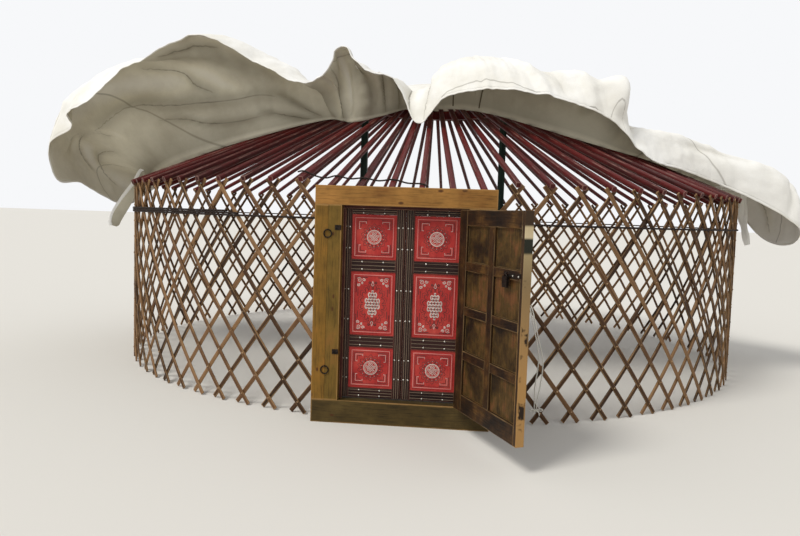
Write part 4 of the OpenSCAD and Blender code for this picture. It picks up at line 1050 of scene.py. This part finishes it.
# Folds of the free flap: angle and share of the flap at points along each, its half width
# and its depth in metres, inward where less than 0; then a ridge or a crease
FOLDS = [
    ([(-76, 0.80), (-74, 0.40), (-66, 0.33), (-61, 0.26), (-56, 0.235), (-50, 0.225), (-44, 0.24),
      (-38, 0.16)], 0.075, -0.070, "crease"),
    ([(-72, 0.62), (-68, 0.50), (-63, 0.42), (-58, 0.38)], 0.120, 0.070, "ridge"),
    ([(-64, 0.20), (-60, 0.17), (-56, 0.12), (-50, 0.10), (-44, 0.12)], 0.035, -0.025, "crease"),
    ([(-61, 0.56), (-57, 0.46), (-56, 0.36), (-54, 0.29)], 0.050, -0.045, "crease"),
    ([(-58, 0.52), (-54, 0.42), (-52, 0.32), (-49, 0.26)], 0.070, 0.042, "ridge"),
    ([(-55, 0.85), (-51, 0.70), (-48, 0.52), (-44, 0.40)], 0.100, -0.070, "ridge"),
    ([(-53, 0.92), (-50, 0.85), (-48, 0.72)], 0.030, -0.021, "crease"),
    ([(-48, 0.90), (-44, 0.72), (-40, 0.55), (-36, 0.50)], 0.080, 0.056, "ridge"),
    ([(-80, 0.62), (-76, 0.52), (-74, 0.36), (-73, 0.22)], 0.060, 0.042, "ridge"),
    ([(-82, 0.70), (-78, 0.58), (-75, 0.45), (-74, 0.28)], 0.040, -0.035, "crease"),
    ([(-86, 0.75), (-82, 0.48), (-79, 0.36), (-77, 0.24)], 0.045, -0.031, "crease"),
    ([(-88, 0.80), (-84, 0.62), (-80, 0.52), (-78, 0.44)], 0.060, 0.039, "ridge"),
    ([(-42, 0.25), (-37, 0.14), (-33, 0.06)], 0.030, -0.025, "crease"),
    ([(-46, 0.14), (-40, 0.08), (-35, 0.03)], 0.030, -0.020, "crease"),
    ([(-28, 0.05), (-28.5, 0.40), (-27.5, 0.95)], 0.040, -0.063, "ridge"),
    ([(-25.5, 0.05), (-25.8, 0.45), (-25, 0.95)], 0.035, 0.063, "ridge"),
    ([(-23, 0.02), (-23.4, 0.45), (-22.5, 0.95)], 0.030, -0.042, "crease"),
    ([(-20.5, 0.05), (-21, 0.50), (-20.5, 0.98)], 0.035, 0.056, "ridge"),
    ([(-16, 0.05), (-17, 0.50), (-16, 0.95)], 0.060, -0.070, "ridge"),
    ([(-12, 0.05), (-12, 0.50), (-11, 0.95)], 0.030, 0.025, "crease"),
    ([(-9, 0.05), (-9, 0.60), (-8, 0.95)], 0.030, -0.025, "crease"),
    ([(-4, 0.30), (-3.5, 0.70), (-3, 1.0)], 0.035, -0.042, "crease"),
    ([(1.5, 0.20), (1, 0.60), (0.5, 1.0)], 0.035, -0.042, "crease"),
    ([(20, 0.40), (24, 0.60), (27, 0.85), (28, 1.0)], 0.045, 0.035, "ridge"),
    ([(28, 0.45), (31, 0.65), (33, 0.90)], 0.060, -0.042, "ridge"),
    ([(35, 0.30), (38, 0.60), (38, 0.95)], 0.060, 0.042, "ridge"),
    ([(41, 0.20), (43.5, 0.50), (44, 0.85)], 0.060, 0.154, "ridge"),
    ([(47, 0.10), (48.5, 0.50), (48, 0.95)], 0.060, -0.070, "ridge"),
    ([(52, 0.35), (58, 0.45), (66, 0.40)], 0.080, 0.035, "ridge"),
    ([(56, 0.70), (63, 0.66), (70, 0.62)], 0.060, -0.035, "ridge"),
    ([(74, 0.30), (76, 0.60), (74, 0.95)], 0.060, -0.049, "ridge"),
    ([(80, 0.40), (82, 0.70), (80, 0.95)], 0.050, 0.042, "ridge"),
    ([(86, 0.35), (87, 0.65), (85, 0.95)], 0.040, -0.042, "crease")]
STEPS = ([-2 + k / 6 for k in range(6)] + [-1 + k / 20 for k in range(4)]
         + [-0.8 + k / 15 for k in range(12)] + [k / 52 for k in range(53)])
TURNS = ([-180 + 1.5 * k for k in range(57)] + [-94.5 + 0.4 * k for k in range(474)]
         + [96.5 + 1.5 * k for k in range(56)])


# How far a fold still pushes the sheet and paints shade and light on it
FOLD_REACH = 0.26


def way_out(angle, along):
    """Point and outward normal of the bare sheet."""
    point = spread(angle, along)
    over = spread(min(angle + 0.3, 179.9), along) - spread(max(angle - 0.3, -180), along)
    down = spread(angle, min(along + 0.02, 1)) - spread(angle, along - 0.02)
    return point, over.cross(-down).normalized() if over.length > 1e-6 else Vector((0, 0, 1))


def fold_points(line):
    """Closely spaced points of a fold, each with its share of the fold's length."""
    spots = smooth(line, 16 * (len(line) - 1))[:-1]
    made = [(spread(angle, min(along, 1)), k / 16 / (len(line) - 1))
            for k, (angle, along) in enumerate(spots)]
    ways = [b[0] - a[0] for a, b in zip(made, made[1:])]
    return [(point, share, way) for (point, share), way in zip(made, [*ways, ways[-1]])]


folds = [(fold_points(line), wide, deep, kind) for line, wide, deep, kind in FOLDS]
near = kdtree.KDTree(sum(len(trail) for trail, *_ in folds))
owners = []
for number, (trail, *_) in enumerate(folds):
    for point, share, way in trail:
        near.insert(point, len(owners))
        owners.append((number, point, share, way))
near.balance()


def moved(angle, along):
    """A point of the sheet with its folds, the sag between the poles and small wrinkles, its
    outward normal, its tone from -1 to 1, painted light below 0 and painted shade and an even
    darkening above it, its distance from a crease, less than 0 on one side, and how sharp that crease is."""
    point, out = way_out(angle, along)
    push, tone, crease, close, second = 0.0, 0.0, 1.0, 0.0, 1.0
    if along > 0.02:
        found = {}
        for _, index, distance in near.find_range(point, FOLD_REACH):
            number = owners[index][0]
            if number not in found or distance < found[number][0]:
                found[number] = (distance, index)
        for number, (distance, index) in found.items():
            _, spot, share, way = owners[index]
            _, wide, deep, kind = folds[number]
            taper = sin(pi * (0.08 + 0.84 * share)) ** 0.6
            # Ridges paint light where they stand out and shade where they sink, and creases a band of
            # painted shade
            if kind == "ridge":
                bell = taper * exp(-(distance / wide) ** 2)
                push += deep * bell
                tone -= bell * max(-0.6, min(0.6, deep / 0.10))
            else:
                push += deep * taper * exp(-distance / wide * 1.6)
                tone += 0.45 * taper * exp(-(distance / wide) ** 2)
                if distance < abs(crease):
                    second = abs(crease)
                    crease = copysign(distance, (point - spot).cross(way).dot(out))
                    close = taper * exp(-(distance / 0.024) ** 2)
                else:
                    second = min(second, distance)
        close *= max(0, min(1, (second - abs(crease) - 0.015) / 0.05))
        free = min(1, along / 0.18)
        push += free * 0.016 * noise.fractal(point * 3.1, 0.7, 2.0, 4)
        push += free * 0.008 * noise.noise(Vector((angle * 0.9, along * 2.5, 3)))
        push = max(push, -0.10)
        push *= min(1, along / 0.12)
        # Painted shadow on the sheet just past where it leaves the poles, deepest on the left
        tone += (0.35 + 0.6 * exp(-((angle + 80) / 9) ** 2)) * exp(-(along / 0.11) ** 2)
    elif along > -0.8:
        pole_gap = cos((radians(angle) - WALL_START - END_STEP * PITCH) / PITCH * 2 * pi)
        push = (1 - pole_gap) * 0.5 * -0.010 * min(1, (along + 0.8) / 0.2) * min(1, -along / 0.12)
        push += 0.0015
    free = max(0, min(1, along))
    # The whole sheet a little darker, less so on the free flap, and painted light on the free flap towards
    # the right and at the far left
    tone += 0.22 - 0.12 * free - 1.1 * free * max(0, min(1, (angle - 28) / 45))
    tone -= 0.55 * free * max(0, min(1, (-68 - angle) / 14))
    return point + out * push, out, max(-1, min(1, tone)), crease, close


shell = bmesh.new()
weave = shell.loops.layers.uv.new("cloth")
layers = [shell.verts.layers.float.new(name) for name in ("tone", "crease", "close")]
rows = []
for angle in TURNS:
    row = []
    for along in STEPS:
        point, _, *values = moved(angle, along)
        row.append(shell.verts.new(point))
        for layer, value in zip(layers, values):
            row[-1][layer] = value
    rows.append(row)
reach = []
for row in rows:
    far = [0.0]
    for a, b in zip(row, row[1:]):
        far.append(far[-1] + (a.co - b.co).length)
    reach.append(far)
for k in range(len(TURNS)):
    other = (k + 1) % len(TURNS)
    for j in range(len(STEPS) - 1):
        face = shell.faces.new((rows[k][j], rows[k][j + 1], rows[other][j + 1], rows[other][j]))
        face.smooth = True
        for loop, (row, step) in zip(face.loops, ((k, j), (k, j + 1), (other, j + 1), (other, j))):
            turn = radians(TURNS[row] + (360 if row < k else 0))
            loop[weave].uv = (reach[row][step] * sin(turn), -reach[row][step] * cos(turn))
shell.faces.new([row[0] for row in rows])
bmesh.ops.recalc_face_normals(shell, faces=shell.faces)
cover = placed("roof_cover_sheet", meshed("roof_cover_sheet", shell), lit_canvas, cotton)
modifier = cover.modifiers.new("thickness", "SOLIDIFY")
modifier.thickness, modifier.offset, modifier.use_rim, modifier.material_offset = COVER_T, 1.0, True, 1
kept(cover)

# The hem: the edge turned in twice over a cord, and cords sewn into two seams of the underside
hem_line, hem_ways = [], []
for angle in [*TURNS, TURNS[0]]:
    point, out, *_ = moved(angle, 1.0)
    hem_line.append(point + out * COVER_T / 2)
    hem_ways.append(out)
hem = bars("roof_cover_hem", [(hem_line, hem_ways, 0.4, None)], 0.020, 0.007, 0.003, lit_canvas)
seam_cord = canvas("dark seam cord", "#5b5340", "#3f382a", "#3f382a")
lines = []
for trail in ([(9.8, 0.02), (9.2, 0.22), (8.4, 0.44), (7.2, 0.64)],
              [(19, 0.02), (20, 0.26), (21.4, 0.50), (23, 0.70)]):
    seen = [moved(angle, along) for angle, along in smooth(trail, 24)]
    lines.append(([point - out * 0.002 for point, out, *_ in seen], [out for _, out, *_ in seen], 0.5, None))
seams = bars("roof_cover_seam_cords", lines, 0.010, 0.006, 0.002, seam_cord)

# Tails: a strip of canvas sewn under the cover at each side, loose from the wall, its hem turned in.
# Each route gives the radius, the height and the width, as a share of the full one.
tails = []
for name, angle, cloth, route in (
        ("left", -79.05, cotton, [(2.985, 1.72, 0.5), (3.03, 1.62, 0.6), (3.08, 1.52, 0.9),
                                  (3.15, 1.40, 1.25), (3.22, 1.28, 1.35), (3.25, 1.20, 1.0),
                                  (3.26, 1.17, 0.55)]),
        ("right", 83.5, lit_canvas, [(3.03, 1.72, 0.5), (3.07, 1.60, 0.6), (3.07, 1.46, 0.7),
                                   (3.09, 1.36, 0.45), (3.11, 1.27, 0.55), (3.13, 1.19, 0.5)])):
    head = moved(angle, 0.07)[0]
    start = (hypot(head.x, WALL_R - head.y), head.z, 0.5)
    spots = smooth([start, *route], 36)
    line = [ring(r, radians(angle), z) for r, z, _ in spots]
    ways = [Vector((0.5 * sin(k / 5), -1, 0.3 * cos(k / 7))).normalized() for k in range(len(line))]
    wide = [scale for *_, scale in spots]
    strip = bars(f"roof_cover_{name}_tail", [(line, ways, 0.5, wide)], 0.120, 0.004, 0.0015, cloth)
    tone = strip.data.attributes.new("tone", "FLOAT", "POINT").data
    for place, vertex in zip(tone, strip.data.vertices):
        place.value = 0.35 + 0.25 * sin(vertex.co.z * 12) if cloth is cotton else 0.0
    tails.append(strip)
    rim = []
    for k, (point, way, scale) in enumerate(zip(line, ways, wide)):
        ahead = line[min(k + 1, len(line) - 1)] - line[max(k - 1, 0)]
        across = way.cross(ahead).normalized()
        rim.append(point + across * copysign(0.060 * scale - 0.014, angle))
    rim = [(rim, ways, 0.5, None)]
    tails.append(bars(f"roof_cover_{name}_tail_hem", rim, 0.034, 0.010, 0.003, lit_canvas))
for piece in (cover, hem, seams, *tails):
    keep(piece, "tent_frame", "cover_cloth")
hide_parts("roof_cover")


# Stage: a level pale floor under soft daylight from high on the left, with plain white behind
floor_paint, tree, shader = finish("plain pale floor")
give(shader, {"Base Color": linear("#d9d6cf"), "Roughness": 0.9, "Specular IOR Level": 0.1})
mesh = bpy.data.meshes.new("level_floor")
mesh.from_pydata([(-150, -150, 0), (150, -150, 0), (150, 150, 0), (-150, 150, 0)], [], [(0, 1, 2, 3)])
placed("level_floor", mesh, floor_paint)

world = bpy.data.worlds.new("soft daylight")
world.use_nodes = True
bpy.context.scene.world = world
tree = world.node_tree
rays = add(tree, "LightPath")
seen = add(tree, "Math", {0: rays.outputs["Is Camera Ray"], 1: rays.outputs["Is Glossy Ray"]},
           operation="MAXIMUM")
seen = add(tree, "Math", {0: seen, 1: rays.outputs["Is Transmission Ray"]}, operation="MAXIMUM")
level = add(tree, "MapRange", {"Value": seen, "To Min": 0.72, "To Max": 1.0})
give(tree.nodes["Background"], {"Color": linear("#f7f8fa"), "Strength": level})

sun = bpy.data.lights.new("soft sun", "SUN")
sun.energy = 1.9
sun.angle = radians(18)
sun.color = (1.0, 0.98, 0.94)
lamp = placed("soft sun", sun)
lamp.rotation_euler = Vector((0.55, 0.55, -1.0)).to_track_quat("-Z", "Y").to_euler()

bpy.context.scene.view_settings.view_transform = "Standard"
